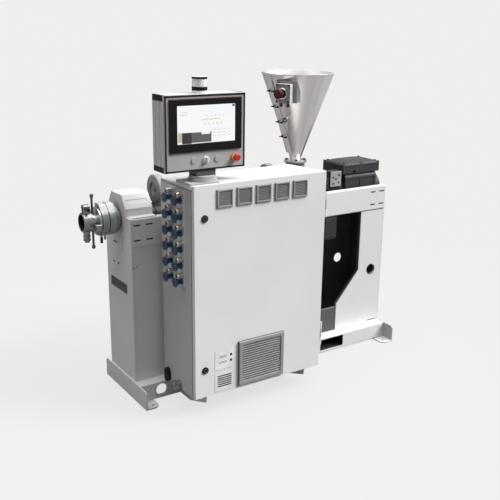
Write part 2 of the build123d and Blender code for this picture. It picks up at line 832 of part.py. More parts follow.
# Motor with recessed side panels, feet and a round fan cowl
with BuildPart() as motor:
    with BuildSketch(Plane.YZ.offset(motor_left_x)):
        with Locations((axis_y, motor_axis_z)):
            RectangleRounded(2 * motor_half_d, motor_h, motor_corner_r)
    extrude(amount=motor_body_l)
    panel_l = (motor_body_l - 3 * motor_rib_w) / 2
    for side in (-1, 1):
        face_y = axis_y + side * motor_half_d
        for i in range(2):
            x0 = motor_left_x + motor_rib_w + i * (panel_l + motor_rib_w)
            span(x0, x0 + panel_l, face_y, face_y - side * motor_panel_depth,
                 deck_top_z + motor_corner_r + small_bend, motor_top_z - motor_corner_r - small_bend,
                 mode=Mode.SUBTRACT)
    rod_x(motor_body_right_x, motor_body_right_x + motor_cowl_l, axis_y, motor_axis_z, motor_cowl_r)
    chamfer(motor.faces().sort_by(Axis.X)[-1].edges(), 12)
save(motor.part, "drive_motor")

with BuildPart() as motor_box:
    box_mid_x = (motor_left_x + motor_body_right_x) / 2 + motor_box_shift
    with BuildSketch(Plane.XY.offset(motor_top_z)):
        with Locations((box_mid_x, axis_y)):
            RectangleRounded(motor_box_l - motor_box_corner, motor_box_w - motor_box_corner, motor_box_corner / 2)
    extrude(amount=small_bend)
    with BuildSketch(Plane.XY.offset(motor_top_z + small_bend)):
        with Locations((box_mid_x, axis_y)):
            RectangleRounded(motor_box_l, motor_box_w, motor_box_corner)
    extrude(amount=motor_box_h - small_bend)
    chamfer(motor_box.faces().sort_by(Axis.Z)[-1].edges(), 10)
save(motor_box.part, "motor_terminal_box")


# Hopper with its sight strip
def cone_radius(z):
    """Gives the hopper's outer radius at a height."""
    share = (z - hopper_bottom_z) / (hopper_top_z - hopper_bottom_z)
    return hopper_bottom_r + hopper_wall + share * (hopper_top_r - hopper_bottom_r)


hopper_axis = Axis((hopper_x, axis_y, 0), (0, 0, 1))
flange_top_z = hopper_bottom_z - hopper_neck_h
sight_low_z = hopper_bottom_z + sight_bottom
sight_high_z = hopper_top_z - sight_top
with BuildPart() as hopper:
    with BuildSketch(Plane.XZ.offset(-axis_y)):
        with BuildLine():
            Polyline(
                (hopper_x + hopper_bottom_r, hopper_bottom_z),
                (hopper_x + hopper_top_r, hopper_top_z),
                (hopper_x + hopper_top_r + hopper_rim, hopper_top_z),
                (hopper_x + hopper_top_r + hopper_rim, hopper_top_z - hopper_rim),
                (hopper_x + cone_radius(hopper_top_z - hopper_rim), hopper_top_z - hopper_rim),
                (hopper_x + cone_radius(hopper_bottom_z), hopper_bottom_z),
                (hopper_x + hopper_bottom_r + hopper_wall, flange_top_z),
                (hopper_x + hopper_flange_r, flange_top_z),
                (hopper_x + hopper_flange_r, throat_top_z),
                (hopper_x + hopper_bottom_r, throat_top_z),
                close=True,
            )
        make_face()
    revolve(axis=hopper_axis)
    sight_plane = Plane(origin=(hopper_x, axis_y, 0), x_dir=(1, 0, 0), z_dir=(0, -1, 0))
    with BuildSketch(sight_plane.rotated((0, 0, sight_turn))):
        with BuildLine():
            Polyline(
                (cone_radius(sight_low_z) - hopper_wall / 2, sight_low_z),
                (cone_radius(sight_low_z) + sight_thick, sight_low_z),
                (cone_radius(sight_high_z) + sight_thick, sight_high_z),
                (cone_radius(sight_high_z) - hopper_wall / 2, sight_high_z),
                close=True,
            )
        make_face()
    extrude(amount=sight_w / 2, both=True)
    with BuildSketch(Plane.XZ.offset(-axis_y)):
        with BuildLine():
            Polyline(
                (hopper_x, throat_top_z),
                (hopper_x + hopper_bottom_r, throat_top_z),
                (hopper_x + hopper_bottom_r, hopper_bottom_z),
                (hopper_x + hopper_top_r, hopper_top_z),
                (hopper_x, hopper_top_z),
                close=True,
            )
        make_face()
    revolve(axis=hopper_axis, mode=Mode.SUBTRACT)
save(hopper.part, "hopper")

sensor_plate_top_z = sensor_z + sensor_plate_lift + sensor_plate_h / 2
sensor_plate_out = cone_radius(sensor_plate_top_z) + sensor_plate_thick
sensor_out = sensor_plate_out + sensor_d / 2
with BuildPart() as sensor_box:
    with Locations(Location((hopper_x, axis_y, sensor_z), (0, 0, sensor_turn))):
        with Locations((sensor_out, sensor_shift, 0)):
            Box(sensor_d, sensor_w, sensor_h)
    chamfer(sensor_box.edges().filter_by(Axis.Z), 4)
    with Locations(Location((hopper_x, axis_y, sensor_z), (0, 0, sensor_turn))):
        with Locations(Location((sensor_out + (sensor_d + sensor_knob_l) / 2, sensor_shift, 0), (0, 90, 0))):
            Cylinder(sensor_knob_r, sensor_knob_l)
        for side in (-1, 1):
            with Locations((sensor_out, sensor_shift + side * sensor_w / 4, -(sensor_h + sensor_gland_l) / 2)):
                Cylinder(sensor_gland_r, sensor_gland_l)
save(sensor_box.part, "level_sensor_box")

with BuildPart() as sensor_bracket:
    with Locations(Location((hopper_x, axis_y, sensor_z), (0, 0, sensor_turn))):
        with Locations((sensor_plate_out - sensor_plate_thick / 2, sensor_shift, sensor_plate_lift)):
            Box(sensor_plate_thick, sensor_plate_w, sensor_plate_h)
        with Locations((sensor_plate_out - sensor_standoff_l / 2, sensor_shift, 0)):
            Box(sensor_standoff_l, sensor_standoff_w, sensor_h)
    with BuildSketch(Plane.XZ.offset(-axis_y)):
        with BuildLine():
            Polyline(
                (hopper_x, hopper_bottom_z),
                (hopper_x + cone_radius(hopper_bottom_z), hopper_bottom_z),
                (hopper_x + cone_radius(hopper_top_z), hopper_top_z),
                (hopper_x, hopper_top_z),
                close=True,
            )
        make_face()
    revolve(axis=hopper_axis, mode=Mode.SUBTRACT)
save(sensor_bracket.part.solids().sort_by(SortBy.VOLUME)[-1], "level_sensor_bracket")


# Door hinge halves
def fixed_hinge(z):
    """Adds the cabinet half of one hinge and its pin to the open part."""
    knuckle = hinge_knuckle_h / 2
    rod_z(hinge_x, hinge_y, z - knuckle, z + knuckle, hinge_knuckle_r)
    rod_z(hinge_x, hinge_y, z - 3 * knuckle, z + 3 * knuckle, hinge_pin_r)
    leaf_y = shell_front_y + small_bend
    span(cabinet_right_x, cabinet_right_x + hinge_leaf, leaf_y - 2 * small_bend, leaf_y + hinge_knuckle_h,
         z - knuckle, z + knuckle)
    span(hinge_x - hinge_knuckle_r, hinge_x - hinge_knuckle_r + hinge_leaf, hinge_y, leaf_y,
         z - knuckle, z + knuckle)


def door_hinge(z):
    """Adds the door half of one hinge, two knuckles on one leaf, to the open part."""
    reach = hinge_knuckle_h + 5
    for side in (-1, 1):
        low = z + side * reach - hinge_knuckle_h / 2
        high = low + hinge_knuckle_h
        rod_z(hinge_x, hinge_y, low, high, hinge_knuckle_r)
        span(cabinet_right_x - 2, hinge_x, hinge_y - hinge_leaf, hinge_y, low, high)
    rod_z(hinge_x, hinge_y, z - 2 * hinge_knuckle_h, z + 2 * hinge_knuckle_h, hinge_pin_r + joint_gap,
          mode=Mode.SUBTRACT)


# Cabinet shell with a flanged opening, and the roof that falls to the back
with BuildPart() as shell:
    span(cabinet_left_x, cabinet_right_x, shell_front_y, cabinet_back_y, cabinet_bottom_z, cabinet_shell_top_z)
    span(cabinet_left_x + sheet, cabinet_right_x - sheet, shell_front_y + sheet, cabinet_back_y - sheet,
         cabinet_bottom_z + sheet, cabinet_shell_top_z - sheet, mode=Mode.SUBTRACT)
    span(cabinet_left_x + opening_flange, cabinet_right_x - opening_flange, shell_front_y, shell_front_y + sheet,
         cabinet_bottom_z + opening_flange, cabinet_shell_top_z - opening_flange, mode=Mode.SUBTRACT)
    for side in (-1, 1):
        rod_y(cabinet_mid_x + side * (cabinet_w / 2 - stay_inset), cabinet_back_y, frame_front_y,
              (beam_bottom_z + beam_top_z) / 2, stay_r)
    for z in hinge_zs:
        fixed_hinge(z)
save(shell.part, "cabinet_shell")

with BuildPart() as roof:
    with BuildSketch(Plane.YZ.offset(cabinet_left_x)):
        with BuildLine():
            Polyline(
                (shell_front_y, cabinet_shell_top_z),
                (shell_front_y, roof_front_z),
                (cabinet_back_y, roof_back_z),
                (cabinet_back_y, cabinet_shell_top_z),
                close=True,
            )
        make_face()
    extrude(amount=cabinet_w)
save(roof.part, "cabinet_roof")

with BuildPart() as mounting_plate:
    plate_back_y = cabinet_back_y - sheet - mount_plate_gap
    span(cabinet_left_x + mount_plate_inset, cabinet_right_x - mount_plate_inset,
         plate_back_y - mount_plate_thick, plate_back_y,
         cabinet_bottom_z + mount_plate_inset, cabinet_shell_top_z - mount_plate_inset)
    for x_side in (-1, 1):
        for z_side in (-1, 1):
            boss_x = cabinet_mid_x + x_side * (cabinet_w / 2 - 2 * mount_plate_inset)
            boss_z = cabinet_bottom_z + cabinet_shell_h / 2 + z_side * (cabinet_shell_h / 2 - 2 * mount_plate_inset)
            rod_y(boss_x, plate_back_y, cabinet_back_y - sheet, boss_z, bolt_hole_r)
save(mounting_plate.part, "mounting_plate")


def gusset(x):
    """Makes one plate that carries the cabinet in front of the rail."""
    gusset_front_y = door_back_y + opening_flange / 2
    with BuildPart() as web:
        with BuildSketch(Plane.YZ.offset(x)):
            with BuildLine():
                Polyline(
                    (rail_front_y, foot_thick),
                    (rail_front_y - gusset_foot, foot_thick),
                    (gusset_front_y, (rail_top_z + fork_mid_z / 2) / 2),
                    (gusset_front_y, cabinet_bottom_z),
                    (cabinet_back_y - sheet, cabinet_bottom_z),
                    (cabinet_back_y - sheet, rail_top_z),
                    (rail_front_y, rail_top_z),
                    close=True,
                )
            make_face()
        extrude(amount=gusset_thick)
    return web.part


save(gusset(cabinet_left_x + gusset_inset), "left_cabinet_gusset")
save(gusset(cabinet_right_x - gusset_inset - gusset_thick), "right_cabinet_gusset")

# Door as a folded sheet with openings for its vents, grille and locks
vent_inner = vent_size - 2 * vent_frame
grille_inner_w = grille_w - 2 * grille_frame
grille_inner_h = grille_h - 2 * grille_frame
with BuildPart() as door:
    span(cabinet_left_x, cabinet_right_x, door_front_y, door_back_y, cabinet_bottom_z, door_top_z)
    fillet(door.edges().filter_by(Axis.Z).group_by(Axis.Y)[0], sheet)
    span(cabinet_left_x + door_return, cabinet_right_x - door_return, door_front_y + sheet, door_back_y,
         cabinet_bottom_z + door_return, door_top_z - door_return, mode=Mode.SUBTRACT)
    for i in range(vent_count):
        with Locations((vent_first_x + i * vent_pitch, door_front_y + sheet / 2, vent_mid_z)):
            Box(vent_inner, sheet, vent_inner, mode=Mode.SUBTRACT)
    with Locations((grille_mid_x, door_front_y + sheet / 2, grille_mid_z)):
        Box(grille_inner_w, sheet, grille_inner_h, mode=Mode.SUBTRACT)
    for z in lock_zs:
        rod_y(lock_x, door_front_y, door_front_y + sheet, z, lock_hole_r, mode=Mode.SUBTRACT)
    for z in hinge_zs:
        door_hinge(z)
save(door.part, "cabinet_door")

# Row of square vents, each a raised frame round slats, on one rail behind the door sheet
with BuildPart() as vents:
    for i in range(vent_count):
        x = vent_first_x + i * vent_pitch
        with Locations((x, door_front_y - vent_proud / 2, vent_mid_z)):
            Box(vent_size, vent_proud, vent_size)
        with Locations((x, door_front_y + sheet / 2, vent_mid_z)):
            Box(vent_inner, sheet, vent_inner)
    chamfer(vents.faces().filter_by(Axis.Y).group_by(Axis.Y)[0].edges(), 3)
    slot_h = vent_inner / (2 * vent_slats + 1)
    with Locations((vent_first_x + (vent_count - 1) * vent_pitch / 2, door_front_y - vent_proud + vent_recess / 2,
                    vent_mid_z)):
        with GridLocations(vent_pitch, 1, vent_count, 1):
            Box(vent_inner, vent_recess, vent_inner, mode=Mode.SUBTRACT)
    for j in range(vent_slats):
        slot_z = vent_mid_z + (j - (vent_slats - 1) / 2) * 2 * slot_h
        for i in range(vent_count):
            with Locations((vent_first_x + i * vent_pitch, door_front_y - vent_proud + 1.5 * vent_recess, slot_z)):
                Box(vent_inner - 2 * sheet, vent_recess, slot_h, mode=Mode.SUBTRACT)
    span(vent_first_x - vent_inner / 2, vent_first_x + (vent_count - 1) * vent_pitch + vent_inner / 2,
         door_front_y + sheet, door_front_y + sheet + 3, vent_mid_z - vent_inner / 3, vent_mid_z + vent_inner / 3)
save(vents.part, "vent_grilles")

# Filter grille with sloping slats in a raised frame
with BuildPart() as louvre:
    with Locations((grille_mid_x, door_front_y - grille_proud / 2, grille_mid_z)):
        Box(grille_w, grille_proud, grille_h)
    chamfer(louvre.faces().sort_by(Axis.Y)[0].edges(), 4)
    with Locations((grille_mid_x, door_front_y - grille_proud / 2, grille_mid_z)):
        Box(grille_inner_w, grille_proud, grille_inner_h, mode=Mode.SUBTRACT)
    slat_pitch = grille_inner_h / grille_slats
    slat_front_y = door_front_y - grille_proud + 2
    slat_back_y = door_front_y - 2
    with BuildSketch(Plane.YZ.offset(grille_mid_x - grille_inner_w / 2)):
        for i in range(grille_slats):
            slat_z = grille_mid_z - grille_inner_h / 2 - slat_thick / 2 + i * slat_pitch
            with BuildLine():
                Polyline(
                    (slat_front_y, slat_z),
                    (slat_front_y, slat_z + slat_thick),
                    (slat_back_y, slat_z + slat_rise + slat_thick),
                    (slat_back_y, slat_z + slat_rise),
                    close=True,
                )
            make_face()
    extrude(amount=grille_inner_w)
    with Locations((grille_mid_x, door_front_y, grille_mid_z)):
        Box(grille_inner_w, 2 * sheet, grille_inner_h)
save(louvre.part, "louvre_grille")

# Quarter turn locks
for label, z in zip(("upper_lock", "lower_lock"), lock_zs):
    with BuildPart() as lock:
        rod_y(lock_x, door_front_y - lock_proud, door_front_y, z, lock_r)
        chamfer(lock.faces().sort_by(Axis.Y)[0].edges(), 3)
        rod_y(lock_x, door_front_y, door_front_y + sheet + lock_proud, z, lock_hole_r - joint_gap)
        rod_y(lock_x, door_front_y - lock_proud, door_front_y - lock_proud / 2, z, lock_r / 2, mode=Mode.SUBTRACT)
        span(lock_x - lock_r / 4, lock_x + lock_r / 4, door_front_y - lock_proud + 1, door_front_y,
             z - lock_r / 8, z + lock_r / 8)
    save(lock.part, label)


# Plug connectors for the heating zones
def connector_column(y, label):
    """Makes one backing strip with capped plugs and small plugs between them."""
    strip_x = cabinet_left_x - plug_strip_thick
    top_z = plug_first_z + small_plug_up + small_plug_r
    low_z = plug_first_z - (plug_count - 1) * plug_pitch - plug_cap_r
    with BuildPart() as column:
        span(strip_x, cabinet_left_x, y - plug_strip_w / 2, y + plug_strip_w / 2, low_z, top_z)
        for i in range(plug_count):
            z = plug_first_z - i * plug_pitch
            rod_x(cabinet_left_x - plug_reach, strip_x, y, z, plug_neck_r)
            rod_x(cabinet_left_x - plug_reach, cabinet_left_x - plug_reach + plug_cap_l, y, z, plug_cap_r)
            rod_x(cabinet_left_x - small_plug_reach, strip_x, y - plug_strip_w / 4, z + small_plug_up + small_plug_r / 4,
                  small_plug_r)
        caps = column.edges().filter_by(GeomType.CIRCLE).group_by(Axis.X)[0]
        chamfer(caps, 5)
    save(column.part, label)


connector_column(plug_rear_y, "rear_connector_column")
connector_column(plug_front_y, "front_connector_column")

with BuildPart() as gland:
    with BuildSketch(Plane.YZ.offset(cabinet_left_x)):
        with Locations((gland_y, gland_z)):
            SlotOverall(gland_h, gland_w, rotation=90)
    extrude(amount=-gland_proud)
    chamfer(gland.faces().sort_by(Axis.X)[0].edges(), 5)
save(gland.part, "side_cable_gland")

with BuildPart() as valve:
    rod_x(cabinet_left_x - valve_reach, cabinet_left_x, valve_y, valve_z, valve_r)
    rod_x(cabinet_left_x - sheet, cabinet_left_x, valve_y, valve_z, 2 * valve_r)
    rod_z(cabinet_left_x - valve_reach + valve_r, valve_y, valve_z - 2 * valve_r, valve_z + 2 * valve_r, 0.9 * valve_r)
    rod_y(cabinet_left_x - valve_reach + valve_r, valve_y - 3 * valve_r, valve_y, valve_z, valve_r / 2)
save(valve.part, "side_drain_valve")

# Swivel base on the sloping roof
swivel_face_z = roof_front_z + swivel_foot_thick
with BuildPart() as swivel_base:
    span(swivel_foot_x - swivel_foot_w / 2, swivel_foot_x + swivel_foot_w / 2, swivel_y - swivel_foot_d / 2,
         swivel_y + swivel_foot_d / 2, cabinet_shell_top_z, swivel_face_z)
    with BuildSketch(Plane.YZ.offset(cabinet_left_x)):
        with BuildLine():
            Polyline(
                (shell_front_y - swivel_foot_d, cabinet_shell_top_z),
                (shell_front_y - swivel_foot_d, roof_front_z),
                (shell_front_y, roof_front_z),
                (cabinet_back_y, roof_back_z),
                (cabinet_back_y, cabinet_shell_top_z),
                close=True,
            )
        make_face()
    extrude(amount=cabinet_w, mode=Mode.SUBTRACT)
    rod_z(panel_mid_x, swivel_y, swivel_face_z, swivel_face_z + swivel_disc, swivel_r)
save(swivel_base.part, "swivel_base")

with BuildPart() as neck:
    neck_low_z = swivel_face_z + swivel_disc + joint_gap
    rod_z(panel_mid_x, swivel_y, neck_low_z, neck_low_z + swivel_disc, swivel_r - small_bend)
    with BuildSketch(Plane.XY.offset(neck_low_z + swivel_disc)):
        with Locations((panel_mid_x, swivel_y)):
            RectangleRounded(neck_w, neck_d, small_bend)
    with BuildSketch(Plane.XY.offset(panel_bottom_z)):
        with Locations((panel_mid_x, (swivel_y + panel_front_y + panel_depth / 2) / 2)):
            RectangleRounded(neck_w + 2 * small_bend, neck_d + 2 * small_bend, small_bend)
    loft()
save(neck.part, "swivel_neck")

# Operator panel case with black corner pieces
panel_left_x = panel_mid_x - panel_w / 2
panel_right_x = panel_mid_x + panel_w / 2
case_front_y = panel_front_y + plate


def corner_blocks(mode):
    """Adds or cuts the four corner pieces of the operator panel's side profiles."""
    for x0 in (panel_left_x, panel_right_x - panel_corner_w):
        for z0 in (panel_bottom_z, panel_top_z - panel_corner_h):
            span(x0, x0 + panel_corner_w, case_front_y + panel_lip, panel_back_y, z0, z0 + panel_corner_h, mode=mode)


with BuildPart() as panel_case:
    span(panel_left_x, panel_right_x, case_front_y, panel_back_y, panel_bottom_z, panel_top_z)
    chamfer(panel_case.edges().filter_by(Axis.Z).group_by(Axis.Y)[0], panel_lip / 2)
    corner_blocks(Mode.SUBTRACT)
    for x, side in ((panel_left_x, 1), (panel_right_x, -1)):
        span(x, x + side * sheet / 2, case_front_y + panel_depth / 3, case_front_y + panel_depth / 3 + sheet,
             panel_bottom_z + panel_corner_h, panel_top_z - panel_corner_h, mode=Mode.SUBTRACT)
        span(x, x + side * sheet / 2, panel_back_y - panel_depth / 4, panel_back_y - panel_depth / 4 + sheet,
             panel_bottom_z + panel_corner_h, panel_top_z - panel_corner_h, mode=Mode.SUBTRACT)
save(panel_case.part, "panel_case")

with BuildPart() as corner_caps:
    corner_blocks(Mode.ADD)
save(corner_caps.part, "panel_corner_caps")

with BuildPart() as panel_front:
    span(panel_left_x + panel_lip, panel_right_x - panel_lip, panel_front_y, case_front_y,
         panel_bottom_z + panel_lip, panel_top_z - panel_lip)
    fillet(panel_front.edges().filter_by(Axis.Y), small_bend)
    for offset_x in (left_button_x, right_button_x):
        rod_y(panel_mid_x + offset_x, panel_front_y - small_bend, panel_front_y, button_z, button_r)
save(panel_front.part, "panel_front_plate")

with BuildPart() as bezel:
    with Locations((panel_mid_x, panel_front_y - bezel_proud / 2, bezel_mid_z)):
        Box(bezel_w, bezel_proud, bezel_h)
    fillet(bezel.edges().filter_by(Axis.Y), small_bend)
    chamfer(bezel.faces().sort_by(Axis.Y)[0].edges(), 1.5)
    with Locations((panel_mid_x, panel_front_y - bezel_proud + 0.5, bezel_mid_z + screen_rise)):
        Box(screen_w, 1, screen_h, mode=Mode.SUBTRACT)
save(bezel.part, "screen_bezel")

# Emergency stop, selector and beacon
with BuildPart() as estop:
    head_y = panel_front_y - 1.8 * estop_head_r
    rod_y(panel_mid_x + estop_x, panel_front_y - 5, panel_front_y, button_z, estop_plate_r)
    rod_y(panel_mid_x + estop_x, head_y, panel_front_y - 5, button_z, 0.6 * estop_head_r)
    rod_y(panel_mid_x + estop_x, head_y, head_y + 0.8 * estop_head_r, button_z, estop_head_r)
    chamfer(estop.faces().sort_by(Axis.Y)[0].edges(), estop_head_r / 4)
save(estop.part, "emergency_stop")

with BuildPart() as selector:
    rod_y(panel_mid_x + selector_x, panel_front_y - 0.6 * selector_r, panel_front_y, button_z, selector_r)
    chamfer(selector.faces().sort_by(Axis.Y)[0].edges(), 2)
    span(panel_mid_x + selector_x - selector_r / 4, panel_mid_x + selector_x + selector_r / 4,
         panel_front_y - 1.4 * selector_r, panel_front_y, button_z - 0.8 * selector_r, button_z + 0.8 * selector_r)
save(selector.part, "selector_knob")

with BuildPart() as beacon:
    beacon_y = (panel_front_y + panel_back_y) / 2
    lens_top_z = panel_top_z + beacon_h - beacon_cap
    rod_z(panel_mid_x, beacon_y, panel_top_z, panel_top_z + beacon_foot, beacon_r)
    rod_z(panel_mid_x, beacon_y, panel_top_z + beacon_foot, lens_top_z, beacon_r - 1.5)
    rod_z(panel_mid_x, beacon_y, lens_top_z, lens_top_z + beacon_cap, beacon_r)
save(beacon.part, "signal_beacon")
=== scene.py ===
"""Looks of a single screw plastic extruder: its finishes, small fittings, camera, floor and lamps."""

import logging
import math
from dataclasses import dataclass, field
from enum import Enum
from typing import ClassVar, Iterable, Sequence

import bmesh
import bpy
import numpy as np
from mathutils import Matrix, Vector


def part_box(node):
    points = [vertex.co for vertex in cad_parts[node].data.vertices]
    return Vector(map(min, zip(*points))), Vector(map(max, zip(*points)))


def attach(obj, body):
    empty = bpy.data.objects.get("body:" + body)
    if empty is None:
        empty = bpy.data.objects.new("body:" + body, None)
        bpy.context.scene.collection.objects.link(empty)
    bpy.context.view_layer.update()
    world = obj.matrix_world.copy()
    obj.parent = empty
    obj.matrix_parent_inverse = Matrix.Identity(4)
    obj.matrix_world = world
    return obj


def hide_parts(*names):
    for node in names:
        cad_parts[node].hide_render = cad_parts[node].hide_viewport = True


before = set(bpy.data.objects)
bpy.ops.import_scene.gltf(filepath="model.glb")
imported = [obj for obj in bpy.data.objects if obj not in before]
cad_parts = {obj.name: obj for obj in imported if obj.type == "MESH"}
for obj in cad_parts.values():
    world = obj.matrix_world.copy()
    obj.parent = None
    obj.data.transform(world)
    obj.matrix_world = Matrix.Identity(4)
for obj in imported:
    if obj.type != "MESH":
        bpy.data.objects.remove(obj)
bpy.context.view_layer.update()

logging.basicConfig(level=logging.INFO, format="%(message)s")
LOG = logging.getLogger("extruder")

Colour = tuple[float, float, float]
Point = tuple[float, float, float]
Pairs = Sequence[tuple[float, float]]
Node = bpy.types.Node
Socket = bpy.types.NodeSocket
Sockets = dict[str, Socket]

# Points closer than this become one, and edges sharper than this many degrees stay sharp
SAME_PLACE = 1e-7
SHARP_ANGLE = 35.0

# The part of a noise's range that shows as clouds, the highest tone that a colour can reach, and two tones of dust
CLOUDS = (0.3, 0.7)
BRIGHTEST = 0.95
PAINT_DUST = (0.55, 0.53, 0.5)
PLASTIC_DUST = (0.45, 0.44, 0.42)

# Tones that several paints share
FRAME_TONE = (0.77, 0.768, 0.762)
NEAR_BLACK = (0.03, 0.03, 0.031)


class Body(Enum):
    """The moving bodies of the machine."""

    MACHINE = "machine"
    DOOR = "door"
    PANEL = "panel"


class Axis(Enum):
    """A direction that a small part can face."""

    RIGHT = (1.0, 0.0, 0.0)
    LEFT = (-1.0, 0.0, 0.0)
    BACK = (0.0, 1.0, 0.0)
    FRONT = (0.0, -1.0, 0.0)
    UP = (0.0, 0.0, 1.0)
    DOWN = (0.0, 0.0, -1.0)


# Short names of the six directions
RIGHT, LEFT, BACK, FRONT, UP, DOWN = (axis.value for axis in Axis)


# Surfaces


@dataclass
class Surface:
    """Points and faces of one worked-out surface, in metres."""

    points: np.ndarray
    faces: list[tuple[int, ...]]

    @staticmethod
    def join(parts: Iterable["Surface"]) -> "Surface":
        """Puts several surfaces into one list of points and faces.

        Args:
            parts: the surfaces.

        Returns:
            One surface that holds them all.
        """
        points, faces, start = [], [], 0
        for part in parts:
            points.append(part.points)
            faces.extend(tuple(int(i) + start for i in face) for face in part.faces)
            start += len(part.points)
        return Surface(np.vstack(points), faces)


def basis(out: Sequence[float]) -> np.ndarray:
    """Gives a frame whose third row is the direction out, and whose second row is as upright as it can be.

    Args:
        out: the direction.

    Returns:
        A 3 by 3 array with the rows right, up and out.
    """
    w = np.asarray(out, float) / np.linalg.norm(out)
    guide = np.array([0.0, 0.0, 1.0]) if abs(w[2]) < 0.9 else np.array([0.0, 1.0, 0.0])
    u = np.cross(guide, w)
    u /= np.linalg.norm(u)
    return np.array([u, np.cross(w, u), w])


def grid_faces(rows: int, columns: int, wrap: bool) -> list[tuple[int, ...]]:
    """Joins a grid of points with four-sided faces.

    Args:
        rows: rows of points.
        columns: points in a row.
        wrap: True where each row is a closed ring.

    Returns:
        The faces.
    """
    i, j = np.meshgrid(np.arange(rows - 1), np.arange(columns if wrap else columns - 1), indexing="ij")
    k = (j + 1) % columns
    quads = np.stack([i * columns + j, i * columns + k, (i + 1) * columns + k, (i + 1) * columns + j], -1)
    return [tuple(q) for q in quads.reshape(-1, 4).tolist()]


def ring_stack(rings: np.ndarray) -> Surface:
    """Skins a stack of closed rings and closes both ends with a flat face.

    Args:
        rings: array of rings by points by 3.

    Returns:
        A closed surface.
    """
    rows, columns = rings.shape[:2]
    faces = grid_faces(rows, columns, True)
    faces.append(tuple(range(columns - 1, -1, -1)))
    faces.append(tuple(range((rows - 1) * columns, rows * columns)))
    return Surface(rings.reshape(-1, 3), faces)


def ring_loop(rings: np.ndarray) -> Surface:
    """Skins a stack of closed rings whose last ring joins the first one.

    Args:
        rings: array of rings by points by 3.

    Returns:
        A closed surface.
    """
    closed = np.concatenate([rings, rings[:1]])
    return Surface(closed.reshape(-1, 3), grid_faces(len(closed), closed.shape[1], True))


def spun(at: Point, out: Point, profile: Pairs, steps: int) -> np.ndarray:
    """Carries a profile round an axis: rings of at + z * out + r * (cos t * right + sin t * up) for each (z, r).

    Args:
        at: the middle of its foot.
        out: the direction of its axis.
        profile: distances along the axis with their radii.
        steps: points in one turn.

    Returns:
        An array of rings by points by 3.
    """
    u, v, w = basis(out)
    z, r = np.asarray(profile, float).T[:, :, None, None]
    turn = polygon(steps, 1.0)
    return np.asarray(at, float) + z * w + r * (turn[:, :1] * u + turn[:, 1:] * v)


def turned(at: Point, out: Point, profile: Pairs, steps: int) -> Surface:
    """Turned form: the rings that spun() gives for a profile, closed with flat ends.

    Args:
        at: the middle of its foot.
        out: the direction of its axis.
        profile: distances along the axis with their radii.
        steps: points in one turn.

    Returns:
        A closed surface of revolution.
    """
    return ring_stack(spun(at, out, profile, steps))


def hollow_ring(at: Point, out: Point, inner: float, outer: float, depth: float, soft: float = 0.0006,
                steps: int = 40) -> Surface:
    """Flat ring: a small rectangle with cut corners carried once round the axis.

    Args:
        at: the middle of its foot.
        out: the direction of its axis.
        inner: its inner radius.
        outer: its outer radius.
        depth: how far it stands out.
        soft: the chamfer of its front edges.
        steps: points in one turn.

    Returns:
        A closed ring surface.
    """
    return ring_loop(spun(at, out, ((0.0, inner), (0.0, outer), (depth - soft, outer), (depth, outer - soft),
                                    (depth, inner + soft), (depth - soft, inner)), steps))


def polygon(sides: int, radius: float, turn: float = 0.0) -> np.ndarray:
    """Regular outline: (r cos t, r sin t) at even turns.

    Args:
        sides: number of corners.
        radius: distance of a corner from the middle.
        turn: first corner's angle in radians.

    Returns:
        Corners as an array of (right, up).
    """
    t = turn + np.linspace(0.0, 2.0 * math.pi, sides, endpoint=False)
    return radius * np.stack([np.cos(t), np.sin(t)], -1)


def soft_rectangle(width: float, height: float, radius: float, steps: int = 5) -> np.ndarray:
    """Outline of a rectangle whose corners are quarter circles.

    Args:
        width: its size to the right.
        height: its size upward.
        radius: the corner radius.
        steps: points in each corner.

    Returns:
        Corners as an array of (right, up).
    """
    t = np.linspace(0.0, math.pi / 2, steps)
    arcs = []
    for k, (sx, sy) in enumerate(((1, 1), (-1, 1), (-1, -1), (1, -1))):
        centre = np.array([sx * (width / 2 - radius), sy * (height / 2 - radius)])
        a = t + k * math.pi / 2
        arcs.append(centre + radius * np.stack([np.cos(a), np.sin(a)], -1))
    return np.vstack(arcs)


def shrunk(outline: np.ndarray, by: float) -> np.ndarray:
    """Moves each side of a convex outline inward by the same amount.

    Args:
        outline: the corners, going round to the left.
        by: how far.

    Returns:
        The moved corners.
    """
    side = np.roll(outline, -1, 0) - outline
    length = np.maximum(np.linalg.norm(side, axis=1, keepdims=True), 1e-9)
    normal = np.stack([-side[:, 1], side[:, 0]], -1) / length
    before = np.roll(normal, 1, 0)
    share = 1.0 + (normal * before).sum(1, keepdims=True)
    return outline + by * (normal + before) / np.maximum(share, 0.3)


def plate(at: Point, out: Point, outline: np.ndarray, depth: float, edge: float) -> Surface:
    """Plate or prism: the outline carried outward, with a chamfer round its front.

    Args:
        at: the middle of its foot.
        out: the direction it faces.
        outline: its corners as (right, up).
        depth: its thickness.
        edge: the chamfer's size.

    Returns:
        A closed surface.
    """
    u, v, w = basis(out)
    rows = ((0.0, outline), (depth - edge, outline), (depth, shrunk(outline, edge)))
    rings = np.stack([np.asarray(at, float) + flat[:, :1] * u + flat[:, 1:] * v + z * w for z, flat in rows])
    return ring_stack(rings)


def pad(at: Point, out: Point, size: tuple[float, ...], depth: float, edge: float) -> Surface:
    """Plate with round corners: a soft rectangle carried outward, with a chamfer round its front.

    Args:
        at: the middle of its foot.
        out: the direction it faces.
        size: its width, height, corner radius and, if not 5, the points in each corner.
        depth: its thickness.
        edge: the chamfer's size.

    Returns:
        A closed surface.
    """
    return plate(at, out, soft_rectangle(*size), depth, edge)


